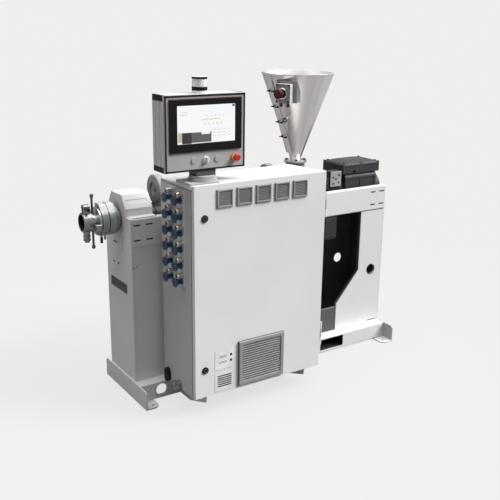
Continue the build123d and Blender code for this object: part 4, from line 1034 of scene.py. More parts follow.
@dataclass
class BaseFrame(SubAssembly):
    """Foot plates, rails, fork tubes, columns, beams and the bay.

    A place in a face is given as across and up, and the bay cover's span as left, right, bottom and top.
    """

    coats = {
        Finishes.FRAME: "left_foot_plate front_base_rail rear_base_rail left_pedestal column_end_plate "
                        "front_top_beam rear_top_beam drive_deck",
        Finishes.LINED: "right_side_panel", Finishes.POCKET: "left_fork_tube right_fork_tube",
        Finishes.BLACK: "bay_back_panel", Finishes.GEAR: "junction_box", Finishes.FOOT: "right_foot_plate",
        Finishes.LEG: "right_leg_panel",
    }
    screw: float = 0.006
    plate_screws: Pairs = ((0.101, 0.916), (0.072, 0.917), (0.112, 0.792), (0.049, 0.794))
    column_holes: Pairs = ((-0.024, 0.806), (-0.006, 0.813))
    leg_hole: tuple[float, float] = (1.748, 0.506)
    grommet: tuple[float, float] = (0.0305, 0.0365)
    leg_slot: tuple[float, float] = (1.786, 0.125)
    window: tuple[float, float] = (0.058, 0.66)
    window_size: tuple[float, float] = (0.2254, 0.0614)
    slot_middles: tuple[float, ...] = (0.036, 1.77)
    slot_z: float = 1.008
    slot_shift: tuple[float, float] = (0.0385, 0.043)
    slot_size: tuple[float, float] = (0.0416, 0.0086)
    cover_span: tuple[float, float, float, float] = (1.26, 1.4548, 0.1128, 0.286)
    cover_y: float = -0.113
    cover_ribs: int = 13
    cover_inset: float = 0.008

    def add_pieces(self) -> None:
        """Adds the frame's screws, trims, bay fittings and the painted shade in its slots, holes and end window."""
        self.column_screws()
        self.junction_details()
        self.leg_details()
        self.bay_cover()
        self.dark_openings()

    def column_screws(self) -> None:
        """Small screws on the left end plate."""
        low, _, _ = corners("column_end_plate")
        add_piece("end_plate_screws", [cap_screw((low[0], y, z), LEFT, self.screw) for y, z in self.plate_screws],
                  Finishes.SOFT_BLACK)

    def leg_details(self) -> None:
        """Black grommet round the leg's hole, with painted shade: a dark strip inside its slot and a dark seam that
        stands for the shadow under the beam.
        """
        low, high, middle = corners("right_leg_panel")
        y = low[1]
        add_piece("leg_grommet_and_shade", [
            hollow_ring((self.leg_hole[0], y + 0.0005, self.leg_hole[1]), FRONT, *self.grommet, 0.0022, 0.0008),
            pad((self.leg_slot[0], y + 0.003, self.leg_slot[1]), FRONT, (0.083, 0.0056, 0.001, 3), 0.0026, 0.0004),
            # dark strip below the beam's edge: painted shadow of the beam
            pad((middle[0], y + 0.002, high[2] - 0.0014), FRONT, (high[0] - low[0] - 0.004, 0.0028, 0.001, 3),
                0.0026, 0.0004)], Finishes.SOFT_BLACK)

    def dark_openings(self) -> None:
        """Painted shade: dark strips inside the front beam's slots, two dark dots for holes on the column and a dark
        sheet inside the end window.
        """
        low, _, _ = corners("front_top_beam")
        side, rise = self.slot_shift
        # dark strips inside the beam's slots and dark dots on the column: painted shade
        strips = [pad((x + dx, low[1] + 0.0035, self.slot_z + dz), FRONT, (*self.slot_size, 0.001, 3), 0.002, 0.0003)
                  for x in self.slot_middles for dx in (-side, side) for dz in (-rise, rise)]
        low, _, _ = corners("left_pedestal")
        holes = [turned((x, low[1] + 0.0005, z), FRONT, ((0.0, 0.0036), (0.0009, 0.0036), (0.0012, 0.003)), 18)
                 for x, z in self.column_holes]
        add_piece("frame_painted_shade", strips + holes, Finishes.SOFT_BLACK)
        low, _, _ = corners("column_end_plate")
        # dark sheet inside the end window: painted shade
        window_shade = pad((low[0] + 0.0095, *self.window), LEFT, (*self.window_size, 0.002), 0.004, 0.0004)
        add_piece("end_window_shade", [window_shade], Finishes.BLACK)

    def bay_cover(self) -> None:
        """Grey ribbed cover that stands on the base rail in the bay."""
        left, right, low, high = self.cover_span
        z = (low + high) / 2
        back = pad(((left + right) / 2, self.cover_y, z), FRONT, (right - left, high - low, 0.003), 0.003, 0.0006)
        ribs = [pad((x, self.cover_y - 0.0028, z), FRONT, (0.007, high - low - 0.008, 0.002, 3), 0.006, 0.0012)
                for x in np.linspace(left + self.cover_inset, right - self.cover_inset, self.cover_ribs)]
        add_piece("bay_lower_cover", [back] + ribs, Finishes.LOWER)

    def junction_details(self) -> None:
        """Lid and screws of the junction box in the bay."""
        low, _, (x, _, z) = corners("junction_box")
        lid = pad((x, low[1], z + 0.008), FRONT, (0.09, 0.13, 0.006), 0.004, 0.001)
        add_piece("junction_box_lid", [lid], Finishes.GEAR)
        screws = [cap_screw((x + dx, low[1] - 0.004, z + dz), FRONT, 0.005)
                  for dx in (-0.036, 0.036) for dz in (-0.048, 0.064)]
        add_piece("junction_box_screws", screws, Finishes.ROD)


@dataclass
class Outlet(SubAssembly):
    """Barrel, heater bands, clamp, swing bolts and the cover over them."""

    coats = {
        Finishes.STEEL: "barrel", Finishes.JACKET: "barrel_jacket", Finishes.COLLAR: "barrel_collar",
        Finishes.BAND: "inner_heater_band outer_heater_band", Finishes.CLAMP: "outlet_clamp melt_sensor",
        Finishes.ROD: "upper_swing_bolt lower_swing_bolt", Finishes.WHITE: "barrel_cover",
    }
    axis: tuple[float, float] = (0.05, 1.06)
    bore: float = 0.046
    nose: float = 0.042
    nose_inset: float = 0.014
    strip_y: float = 0.058
    strip_size: tuple[float, float] = (0.035, 0.04)
    lug_screw: tuple[float, float] = (0.036, 0.022)
    stub: Pairs = ((0.0, 0.0072), (0.0008, 0.0078), (0.034, 0.0078), (0.035, 0.0074))

    def add_pieces(self) -> None:
        """Adds the painted shade in the bore, the plain plates, the pale strips of painted highlight, the screws and
        the painted shade under the cover's lip.
        """
        self.bore_shade()
        self.band_details()
        self.lug_bolts()
        self.cover_lip_shade()

    def bore_shade(self) -> None:
        """Black sleeve inside the clamp's mouth, with a black ring on the end of the nose: painted shade in the deep
        bore.
        """
        low, high, _ = corners("outlet_clamp")
        nose_end = high[0] - self.nose_inset
        sleeve = hollow_ring((nose_end - 0.001, *self.axis), LEFT, self.bore - 0.0014, self.bore - 0.0002,
                             nose_end - low[0] - 0.007, 0.0002, 48)
        face = hollow_ring((nose_end, *self.axis), LEFT, 0.0235, self.nose - 0.001, 0.0009, 0.0002, 48)
        add_piece("outlet_bore_shade", [sleeve, face], Finishes.RUBBER)

    def band_details(self) -> None:
        """Plain plates and pale top strips on the terminal covers, the screws that close the bands and the stub's end.
        The pale strips are a painted highlight on the covers' tops.
        """
        plates, strips, screws = [], [], []
        for node in ("inner_heater_band", "outer_heater_band"):
            low, high, (x, _, _) = corners(node)
            plates.append(pad((x + 0.001, 0.006, high[2] - 0.02), (0.0, -0.7071, 0.7071), (0.031, 0.04, 0.002), 0.001,
                              0.0003))
            # pale strip: painted highlight on the cover's top
            strips.append(pad((x, self.strip_y, high[2]), UP, (*self.strip_size, 0.002), 0.0012, 0.0004))
            screws += [cap_screw((x, self.strip_y + dy, high[2] + 0.001), UP, 0.004) for dy in (-0.012, 0.012)]
        add_piece("band_plates", plates, Finishes.LABEL)
        add_piece("band_top_highlights", strips, Finishes.HIGHLIGHT_STRIP)
        add_piece("band_screws", screws, Finishes.BRIGHT)
        stub = turned((low[0] + 0.008, self.axis[0] - 0.0287, low[2] - 0.0008), UP, self.stub, 24)
        add_piece("band_stub_sleeve", [stub], Finishes.SOFT_BLACK)

    def lug_bolts(self) -> None:
        """Black cross bolt ends and a ring bolt on the clamp's lugs, and dark seams round its hinge stack."""
        _, high, (x, _, _) = corners("outlet_clamp")
        reach, drop = self.lug_screw
        y, z = self.axis[0], high[2] - drop
        ends = [plate((x, y + out[1] * reach, z), out, polygon(6, 0.0115, 0.5), 0.009, 0.0012)
                for out in (FRONT, BACK)]
        ring = hollow_ring((x, y - 0.003, z + 0.014), FRONT, 0.0035, 0.006, 0.006, 0.001, 24)
        add_piece("clamp_lug_bolts", ends + [ring], Finishes.RUBBER)
        seams = [turned((x, y, self.axis[1] - 0.0565 - 0.02 * i), DOWN, ((0.0, 0.0204), (0.0025, 0.0204)), 28)
                 for i in (1, 2)]
        add_piece("clamp_hinge_seams", seams, Finishes.RUBBER)

    def cover_lip_shade(self) -> None:
        """Dark line along the beam at the barrel cover's foot: painted shade under the cover's lip."""
        low, high, _ = corners("barrel_cover")
        y, z = low[1] - 0.0005, low[2] + 0.0015
        add_piece("cover_lip_shade", [tube(((low[0] + 0.004, y, z), (high[0] - 0.002, y, z)), 0.0012, 8)], Finishes.RUBBER)


@dataclass(frozen=True)
class FanGuard:
    """Round guard over a fan's opening: rings with spokes across them.

    A ring's numbers are its width, depth, chamfer and steps, and reach is the spokes' first and last radius.
    """

    radii: tuple[float, ...]
    ring: tuple[float, float, float, int]
    spokes: int
    reach: tuple[float, float]
    wire: float

    def parts(self, ring_x: float, spoke_x: float, y: float, z: float, out: Point) -> list[Surface]:
        """Gives the guard's surfaces.

        Args:
            ring_x: where the rings start.
            spoke_x: where the spokes lie.
            y: its middle.
            z: its middle.
            out: the direction it faces.

        Returns:
            The rings and the spokes.
        """
        width, depth, soft, steps = self.ring
        rings = [hollow_ring((ring_x, y, z), out, r, r + width, depth, soft, steps) for r in self.radii]
        return rings + [tube([(spoke_x, y + r * c, z + r * s) for r in self.reach], self.wire, 8)
                        for c, s in polygon(self.spokes, 1.0)]


@dataclass
class Blowers(SubAssembly):
    """The two radial blowers on the barrel."""

    coats = {Finishes.DRIVE: "front_blower rear_blower"}
    guard_drop: float = 0.082
    guard: FanGuard = FanGuard((0.022, 0.03, 0.038), (0.0025, 0.002, 0.0004, 32), 6, (0.01, 0.04), 0.0012)

    def add_pieces(self) -> None:
        """Adds the inlet guards."""
        for label in ("front", "rear"):
            low, high, (_, y, _) = corners(f"{label}_blower")
            parts = self.guard.parts(low[0] + 0.0113, low[0] + 0.011, y, high[2] - self.guard_drop, LEFT)
            add_piece(f"{label}_blower_guard", parts, Finishes.BRIGHT)


@dataclass
class Feed(SubAssembly):
    """Feed housing, hopper and level sensor.

    The cone's foot is its height and radius, and its size is how tall it is and how much the radius grows.
    """

    coats = {Finishes.DRIVE: "feed_housing", Finishes.HOPPER: "hopper", Finishes.SENSOR_BODY: "level_sensor_box",
             Finishes.SENSOR_GREY: "level_sensor_bracket"}
    hopper: tuple[float, float] = (1.204, 0.05)
    cone_foot: tuple[float, float] = (1.296, 0.033)
    cone_size: tuple[float, float] = (0.54, 0.194)
    sight_turn: float = 180.0
    stud_heights: tuple[float, ...] = (1.441, 1.535, 1.632, 1.728)
    stud_side: float = 0.022
    flange_turns: tuple[float, ...] = (60.0, 150.0, 240.0, 330.0)
    flange_radius: float = 0.057
    sensor_turn: float = 197.0
    sensor_shift: float = 0.082
    sensor_z: float = 1.726
    sensor_face: float = 0.2561
    sensor_plate: tuple[float, float] = (0.1045, 0.1125)
    sensor_screw: float = 0.006
    sensor_spots: tuple[float, float] = (0.044, 0.048)
    sleeve: Pairs = ((0.0, 0.0245), (0.012, 0.0252), (0.018, 0.0252), (0.019, 0.0245), (0.025, 0.0245),
                     (0.026, 0.0252), (0.034, 0.0252), (0.0355, 0.0243))
    cap: Pairs = ((0.0, 0.026), (0.003, 0.0275), (0.0165, 0.0275), (0.0195, 0.0255), (0.0203, 0.02), (0.0206, 0.009))
    port_turn: float = 214.0
    port_z: float = 1.592
    port_length: float = 0.085
    port_fall: float = 0.03
    port_radius: float = 0.0125
    rim_radius: float = 0.2272
    rim_bead: tuple[float, float] = (0.0032, 0.0024)

    def add_pieces(self) -> None:
        """Adds the fittings of the hopper."""
        self.studs()
        self.flange_bolts()
        self.sensor_front()
        self.tube_port()
        self.rim()

    def cone(self, z: float) -> float:
        """Gives the cone's outer radius at a height."""
        return self.cone_foot[1] + (z - self.cone_foot[0]) / self.cone_size[0] * self.cone_size[1]

    def radial(self, turn: float, radius: float, z: float, side: float = 0.0) -> tuple[Point, np.ndarray]:
        """Gives a point round the hopper and the level direction away from its axis.

        Args:
            turn: angle in degrees.
            radius: distance from the axis.
            z: height.
            side: shift square to that direction.

        Returns:
            The point and the direction.
        """
        a = math.radians(turn)
        out = np.array([math.cos(a), math.sin(a), 0.0])
        across = np.array([-math.sin(a), math.cos(a), 0.0])
        return np.array([*self.hopper, z]) + radius * out + side * across, out

    def studs(self) -> None:
        """Stud pairs with nuts that clamp the sight strip."""
        parts = []
        for z in self.stud_heights:
            for side in (-self.stud_side, self.stud_side):
                at, out = self.radial(self.sight_turn, self.cone(z) + 0.006, z, side)
                parts.append(turned(at, out, ((0.0, 0.0035), (0.023, 0.0035), (0.024, 0.0026)), 12))
                parts.append(plate(at, out, polygon(6, 0.0068), 0.009, 0.0008))
        add_piece("sight_strip_studs", parts, Finishes.SOFT_BLACK)

    def flange_bolts(self) -> None:
        """Bolts through the hopper's foot flange."""
        z = corners("feed_housing")[1][2] + 0.008
        add_piece("hopper_flange_bolts", [hex_bolt(self.radial(turn, self.flange_radius, z)[0], UP, 0.009)
                                          for turn in self.flange_turns], Finishes.SOFT_BLACK)

    def rim(self) -> None:
        """Dark rolled bead round the hopper's mouth."""
        tall, wide = self.rim_bead
        at = (*self.hopper, corners("hopper")[1][2] - tall)
        bead = [(tall * s, self.rim_radius + wide * c) for c, s in polygon(10, 1.0)]
        add_piece("hopper_rim_bead", [ring_loop(spun(at, UP, bead, 96))], Finishes.JACKET)

    def sensor_front(self) -> None:
        """Front plate, ring, sleeve, red cap and screws of the level sensor."""
        at, out = self.radial(self.sensor_turn, self.sensor_face, self.sensor_z, self.sensor_shift)
        front = pad(at, out, (*self.sensor_plate, 0.006), 0.003, 0.001)
        ring = hollow_ring(at + 0.003 * out, out, 0.0245, 0.034, 0.009, 0.0015)
        middle = turned(at + 0.0588 * out, out, ((0.0, 0.015), (0.0006, 0.015), (0.0009, 0.0142)), 40)
        wide, tall = self.sensor_spots
        screws = [cap_screw(self.radial(self.sensor_turn, self.sensor_face + 0.003, self.sensor_z + dz,
                                        self.sensor_shift + across)[0], out, self.sensor_screw)
                  for across in (-wide, wide) for dz in (-tall, tall)]
        for name, parts, finish, slot in (
            ("sensor_front_plate", [front], Finishes.SENSOR_GREY, "galvanised"),
            ("sensor_ring", [ring], Finishes.CHROME, "polished_steel"),
            ("sensor_sleeve", [turned(at + 0.003 * out, out, self.sleeve, 40)], Finishes.SOFT_BLACK, "black_plastic"),
            ("sensor_cap", [turned(at + 0.0385 * out, out, self.cap, 48)], Finishes.DARK_RED, "stop_red"),
            ("sensor_cap_middle", [middle], Finishes.MARK, "black_plastic"),
            ("sensor_screws", screws, Finishes.SOFT_BLACK, "black_plastic"),
        ):
            add_piece(name, parts, finish)

    def tube_port(self) -> None:
        """Short angled tube below the level sensor, with a dark lip and a plugged end."""
        foot, out = self.radial(self.port_turn, self.cone(self.port_z) - 0.004, self.port_z)
        fall = self.port_length * out + np.array([0.0, 0.0, -self.port_fall])
        end, run = foot + fall, fall / np.linalg.norm(fall)
        path = foot + np.linspace(0.0, 1.0, 6)[:, None] * fall
        add_piece("hopper_tube_port", [tube(path, self.port_radius, 24)], Finishes.TUBE)
        lip = hollow_ring(end - 0.006 * run, run, 0.008, 0.0138, 0.008, 0.0015, 28)
        plug = turned(end - 0.003 * run, run, ((0.0, 0.0082), (0.004, 0.0082), (0.0045, 0.006)), 20)
        add_piece("hopper_tube_lip", [lip], Finishes.RUBBER)
        add_piece("hopper_tube_plug", [plug], Finishes.STEEL)


@dataclass
class Drive(SubAssembly):
    """Gearbox, motor and its terminal box.

    Bolts lie at shares of the plate's size, and a profile is distances along its axis with their radii.
    """

    coats = {Finishes.GEAR: "gearbox", Finishes.MOTOR: "drive_motor motor_terminal_box"}
    plate_bolts: Pairs = ((0.23, 0.62), (0.5, 0.5), (0.77, 0.75), (0.76, 0.26), (0.26, 0.2))
    plate_bolt: float = 0.0055
    plate_size: tuple[float, float] = (0.09, 0.099)
    plate_foot: float = 0.94 + 0.164
    neck_length: float = 0.034
    lowered: float = 0.049
    half_width: float = 0.098
    rib_places: tuple[float, ...] = (0.03, 0.075, 0.12)
    lid_crown: float = 0.014
    chamfer: float = 0.014
    neck: Pairs = ((0.0, 0.1), (0.031, 0.1), (0.0325, 0.104), (0.038, 0.104))
    gland: Pairs = ((0.0, 0.014), (0.02, 0.014), (0.024, 0.011), (0.024, 0.006))
    boss_sides: Pairs = ((-1, -1), (-1, 0), (-1, 1), (0, -1), (0, 1), (1, -1), (1, 1))
    guard: FanGuard = FanGuard((0.02, 0.035, 0.05, 0.065, 0.08), (0.003, 0.0025, 0.0006, 48), 8, (0.02, 0.083), 0.0015)

    def add_pieces(self) -> None:
        """Adds the gear housing, its bright plate, the terminal box's fittings and the fan guard."""
        self.gear_housing()
        self.gear_plate()
        self.lid_details()
        low, high, (_, y, z) = corners("drive_motor")
        add_piece("motor_fan_guard", self.guard.parts(high[0] - 0.0005, high[0], y, z, RIGHT), Finishes.BRIGHT)

    def gear_housing(self) -> None:
        """Cast housing in place of the solid one: a chamfered body, a raised boss, a round neck, a foot and ribs."""
        low, high, (_, y, _) = corners("gearbox")
        left, bottom, right = low[0], low[2], high[0] - self.neck_length
        tall = high[2] - self.lowered - bottom
        wide, cut, top = self.half_width, self.chamfer, tall / 2
        section = np.array([(-wide, -top), (wide, -top), (wide, top - cut), (wide - cut, top), (cut - wide, top),
                            (-wide, top - cut)])
        body = plate((left, y, bottom + top), RIGHT, section, right - left, 0.003)
        boss = pad((right - 0.046, y - 0.05, bottom + 0.2135), FRONT, (0.092, 0.104, 0.006), y - 0.05 - low[1], 0.002)
        neck = turned((right - 0.004, y, bottom + 0.116), RIGHT, self.neck, 64)
        foot = pad(((left + right) / 2, y, bottom), UP, (right - left, high[1] - low[1], 0.006), 0.014, 0.002)
        ribs = [pad((left + dx, y + out[1] * wide, bottom + 0.08), out, (0.009, 0.15, 0.003), 0.0075, 0.0012)
                for dx in self.rib_places for out in (FRONT, BACK)]
        housing = add_piece("gear_housing", [body, boss, neck, foot] + ribs, Finishes.GEAR)
        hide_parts("gearbox")

    def gear_plate(self) -> None:
        """Bright face of the gearbox's raised plate, and the bolts on it."""
        y = corners("gearbox")[0][1]
        right = corners("drive_motor")[0][0] - self.neck_length
        wide, tall = self.plate_size
        left = right - wide
        face = pad(((left + right) / 2, y - 0.0001, self.plate_foot + tall / 2), FRONT,
                   (wide - 0.0005, tall - 0.0005, 0.004), 0.0016, 0.0006)
        add_piece("gear_plate_face", [face], Finishes.CAST)
        bolts = [hex_bolt((left + u * wide, y - 0.0016, self.plate_foot + v * tall), FRONT, self.plate_bolt)
                 for u, v in self.plate_bolts]
        add_piece("gear_plate_bolts", bolts, Finishes.SOFT_BLACK)

    def lid_details(self) -> None:
        """Crowned lid, screws, corner bosses, seal, plug and glands of the terminal box."""
        low, high, middle = corners("motor_terminal_box")
        (x, y, z), (long, deep, tall) = middle, high - low
        u, v = np.meshgrid(np.linspace(-1.0, 1.0, 25), np.linspace(-1.0, 1.0, 17), indexing="ij")
        crown = self.lid_crown * (1 - u ** 4) * (1 - v ** 4)
        top = np.stack([x + u * (long / 2 - 0.014), y + v * (deep / 2 - 0.014), high[2] - 0.0005 + crown], -1)
        add_piece("terminal_box_crown", [Surface(top.reshape(-1, 3), grid_faces(25, 17, False))], Finishes.MOTOR)
        screws = [cap_screw((x + dx * (long / 2 - 0.024), y + dy * (deep / 2 - 0.024), high[2]), UP, 0.008)
                  for dx in (-1, 1) for dy in (-1, 1)]
        add_piece("terminal_box_screws", screws, Finishes.SOFT_BLACK)
        boss = ((0.0, 0.0112), (tall - 0.006, 0.0112), (tall - 0.004, 0.0098))
        bosses = [turned((x + dx * (long / 2 - 0.01), y + dy * (deep / 2 - 0.01), low[2] + 0.004), UP, boss, 20)
                  for dx, dy in self.boss_sides]
        add_piece("terminal_box_bosses", bosses, Finishes.MOTOR)
        groove = pad((x, y, high[2] - 0.019), UP, (long + 0.0008, deep + 0.0008, 0.014), 0.0022, 0.0003)
        add_piece("terminal_box_seal", [groove], Finishes.SOFT_BLACK)
        plugs = [turned((x - 0.06, low[1] + 0.001, low[2] + 0.02), FRONT,
                        ((0.0, 0.011), (0.004, 0.011), (0.006, 0.008)), 24)]
        for dy in (-0.05, 0.05):
            at = (high[0] - 0.001, y + dy, z - 0.004)
            plugs += [plate(at, RIGHT, polygon(6, 0.02), 0.01, 0.002), turned(at, RIGHT, self.gland, 24)]
        add_piece("terminal_box_plugs", plugs, Finishes.SOFT_BLACK)


@dataclass
class Cabinet(SubAssembly):
    """Control cabinet with its door, side fittings and inner plate.

    A label's numbers are its middle, across and up, with its width and height.
    """

    coats = {
        Finishes.SHELL: "cabinet_shell", Finishes.FRAME: "left_cabinet_gusset right_cabinet_gusset",
        Finishes.WHITE: "cabinet_roof cabinet_door front_connector_column rear_connector_column",
        Finishes.ZINC: "mounting_plate", Finishes.VENT: "vent_grilles", Finishes.LOUVRE: "louvre_grille",
        Finishes.SOFT_BLACK: "upper_lock lower_lock", Finishes.RUBBER: "side_cable_gland",
        Finishes.CLAMP: "side_drain_valve",
    }
    gasket: float = 0.003
    gasket_inset: float = 0.007
    door_right: float = 0.998
    door_depth: float = 0.024
    label_depth: float = 0.0012
    labels: tuple[tuple[float, ...], ...] = ((0.3215, 0.33, 0.127, 0.118), (0.3205, 0.197, 0.125, 0.116))
    label_bars: tuple[float, ...] = (0.352, 0.345, 0.318, 0.311)
    label_rows: int = 6
    plug_count: int = 6
    first_plug: float = 1.232
    plug_pitch: float = 0.0896
    small_plug: Pairs = ((0.0, 0.0155), (0.006, 0.0155), (0.007, 0.0135), (0.022, 0.0135), (0.0225, 0.0155),
                         (0.034, 0.0155), (0.036, 0.013), (0.04, 0.0125))
    vent_count: int = 5
    first_vent: float = 0.319
    vent_pitch: float = 0.123
    line_shift: float = 0.0392
    seam: tuple[float, float] = (0.1335, -0.162)

    def add_pieces(self) -> None:
        """Adds gaskets, plain plates, plugs, the roof's seam and the trims of the door."""
        self.door_gasket()
        self.door_plates()
        for node in ("front_connector_column", "rear_connector_column"):
            self.plugs(node)
        self.roof_seam()
        self.front_trims()

    def front_trims(self) -> None:
        """Light lines inside the vents' frames, a painted highlight on their lit inner edges, and thin rings round the
        locks.
        """
        low, _, (_, _, z) = corners("vent_grilles")
        lines = []
        for i in range(self.vent_count):
            x = self.first_vent + self.vent_pitch * i
            for dx, dz, size in ((self.line_shift, 0.0, (0.0016, 0.078)), (0.0, self.line_shift, (0.078, 0.0016))):
                # light line at the left and bottom inside the frame: painted highlight
                lines.append(pad((x - dx, low[1] + 0.001, z - dz), FRONT, (*size, 0.0005, 3), 0.0014, 0.0003))
        add_piece("vent_painted_highlights", lines, Finishes.OUTLINE, Body.DOOR)
        rings = []
        for node in ("upper_lock", "lower_lock"):
            low, _, (x, _, z) = corners(node)
            rings.append(hollow_ring((x, low[1] + 0.0002, z), FRONT, 0.0092, 0.0108, 0.0006, 0.0002, 32))
        add_piece("lock_rings", rings, Finishes.SENSOR_GREY, Body.DOOR)

    def door_gasket(self) -> None:
        """Rubber strip behind the door's edge: a small round profile carried round the opening."""
        shell_low, shell_high, _ = corners("cabinet_shell")
        low, _, _ = corners("cabinet_door")
        y, inset = low[1] + self.door_depth + self.gasket, self.gasket_inset
        left, right, bottom, top = low[0] + inset, self.door_right - inset, shell_low[2] + inset, shell_high[2] - inset
        around = ((left, y, bottom), (right, y, bottom), (right, y, top), (left, y, top))
        bars = [tube(ends, self.gasket, 10) for ends in zip(around, around[1:] + around[:1])]
        add_piece("door_gasket", bars, Finishes.RUBBER, Body.DOOR)

    def door_plates(self) -> None:
        """Two plain plates beside the grille, with plain bars and two dots where a real one is printed."""
        y, depth = corners("cabinet_door")[0][1], self.label_depth
        edges = [pad((x, y, z), FRONT, (w, h, 0.003), depth * 0.6, 0.0003) for x, z, w, h in self.labels]
        add_piece("door_plate_edges", edges, Finishes.OUTLINE, Body.DOOR)
        plates = [pad((x, y - depth * 0.5, z), FRONT, (w - 0.003, h - 0.003, 0.002), depth * 0.5, 0.0002)
                  for x, z, w, h in self.labels]
        add_piece("door_plates", plates, Finishes.LABEL, Body.DOOR)
        face = y - depth
        marks = [turned((0.364, face, z), FRONT, ((-0.0004, 0.0078), (0.0005, 0.0078), (0.0007, 0.007)), 24)
                 for z in (0.35, 0.316)]
        bars = [(0.31, z, 0.05, 0.0022) for z in self.label_bars]
        bars += [(0.322, 0.232 - 0.0125 * i, 0.092, 0.007) for i in range(self.label_rows)]
        marks += [pad((x, face, z), FRONT, (w, h, 0.001, 3), 0.0004, 0.0001) for x, z, w, h in bars]
        add_piece("door_plate_marks", marks, Finishes.MARK, Body.DOOR)

    def plugs(self, node: str) -> None:
        """Wall strip with six blue plugs on narrow necks and a small bright plug above each.

        Args:
            node: the solid that the pieces stand for.
        """
        low, high, (_, y, middle) = corners(node)
        label = node.split("_")[0]
        strip = pad((high[0], y, middle), LEFT, (high[1] - low[1], high[2] - low[2], 0.004), 0.006, 0.001)
        piece = add_piece(f"{label}_plug_strip", [strip], Finishes.WHITE)
        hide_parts(node)
        face = high[0] - 0.006
        reach = face - low[0]
        big_plug = ((0.0, 0.0185), (0.006, 0.0185), (0.008, 0.0148), (reach - 0.011, 0.0148), (reach - 0.0095, 0.0245),
                    (reach - 0.0075, 0.027), (reach - 0.001, 0.027), (reach, 0.0258), (reach, 0.0215),
                    (reach - 0.0018, 0.0205))
        blue, dark, bright = [], [], []
        for i in range(self.plug_count):
            z = self.first_plug - i * self.plug_pitch
            x, side, above = face + 0.0005, y - 0.0195, z + 0.039
            blue.append(turned((x, y, z), LEFT, big_plug, 36))
            bright.append(turned((x, side, above), LEFT, self.small_plug, 28))
            dark.append(turned((low[0] + 0.0042, y, z), LEFT, ((0.0, 0.0205), (0.0022, 0.0205), (0.0026, 0.0195)), 28))
            dark.append(turned((x - 0.0395, side, above), LEFT, ((0.0, 0.0108), (0.0012, 0.0108), (0.0015, 0.01)), 20))
        add_piece(f"{label}_plugs", blue, Finishes.BLUE)
        add_piece(f"{label}_plug_faces", dark, Finishes.BLUE_DARK)
        add_piece(f"{label}_small_plugs", bright, Finishes.BRASS)

    def roof_seam(self) -> None:
        """Dark seam line where the roof sits on the shell."""
        low, high, _ = corners("cabinet_shell")
        x, back = self.seam
        add_piece("roof_seal", [tube(((x, low[1] + 0.01, high[2]), (x, back, high[2])), 0.0014, 8)], Finishes.RUBBER)


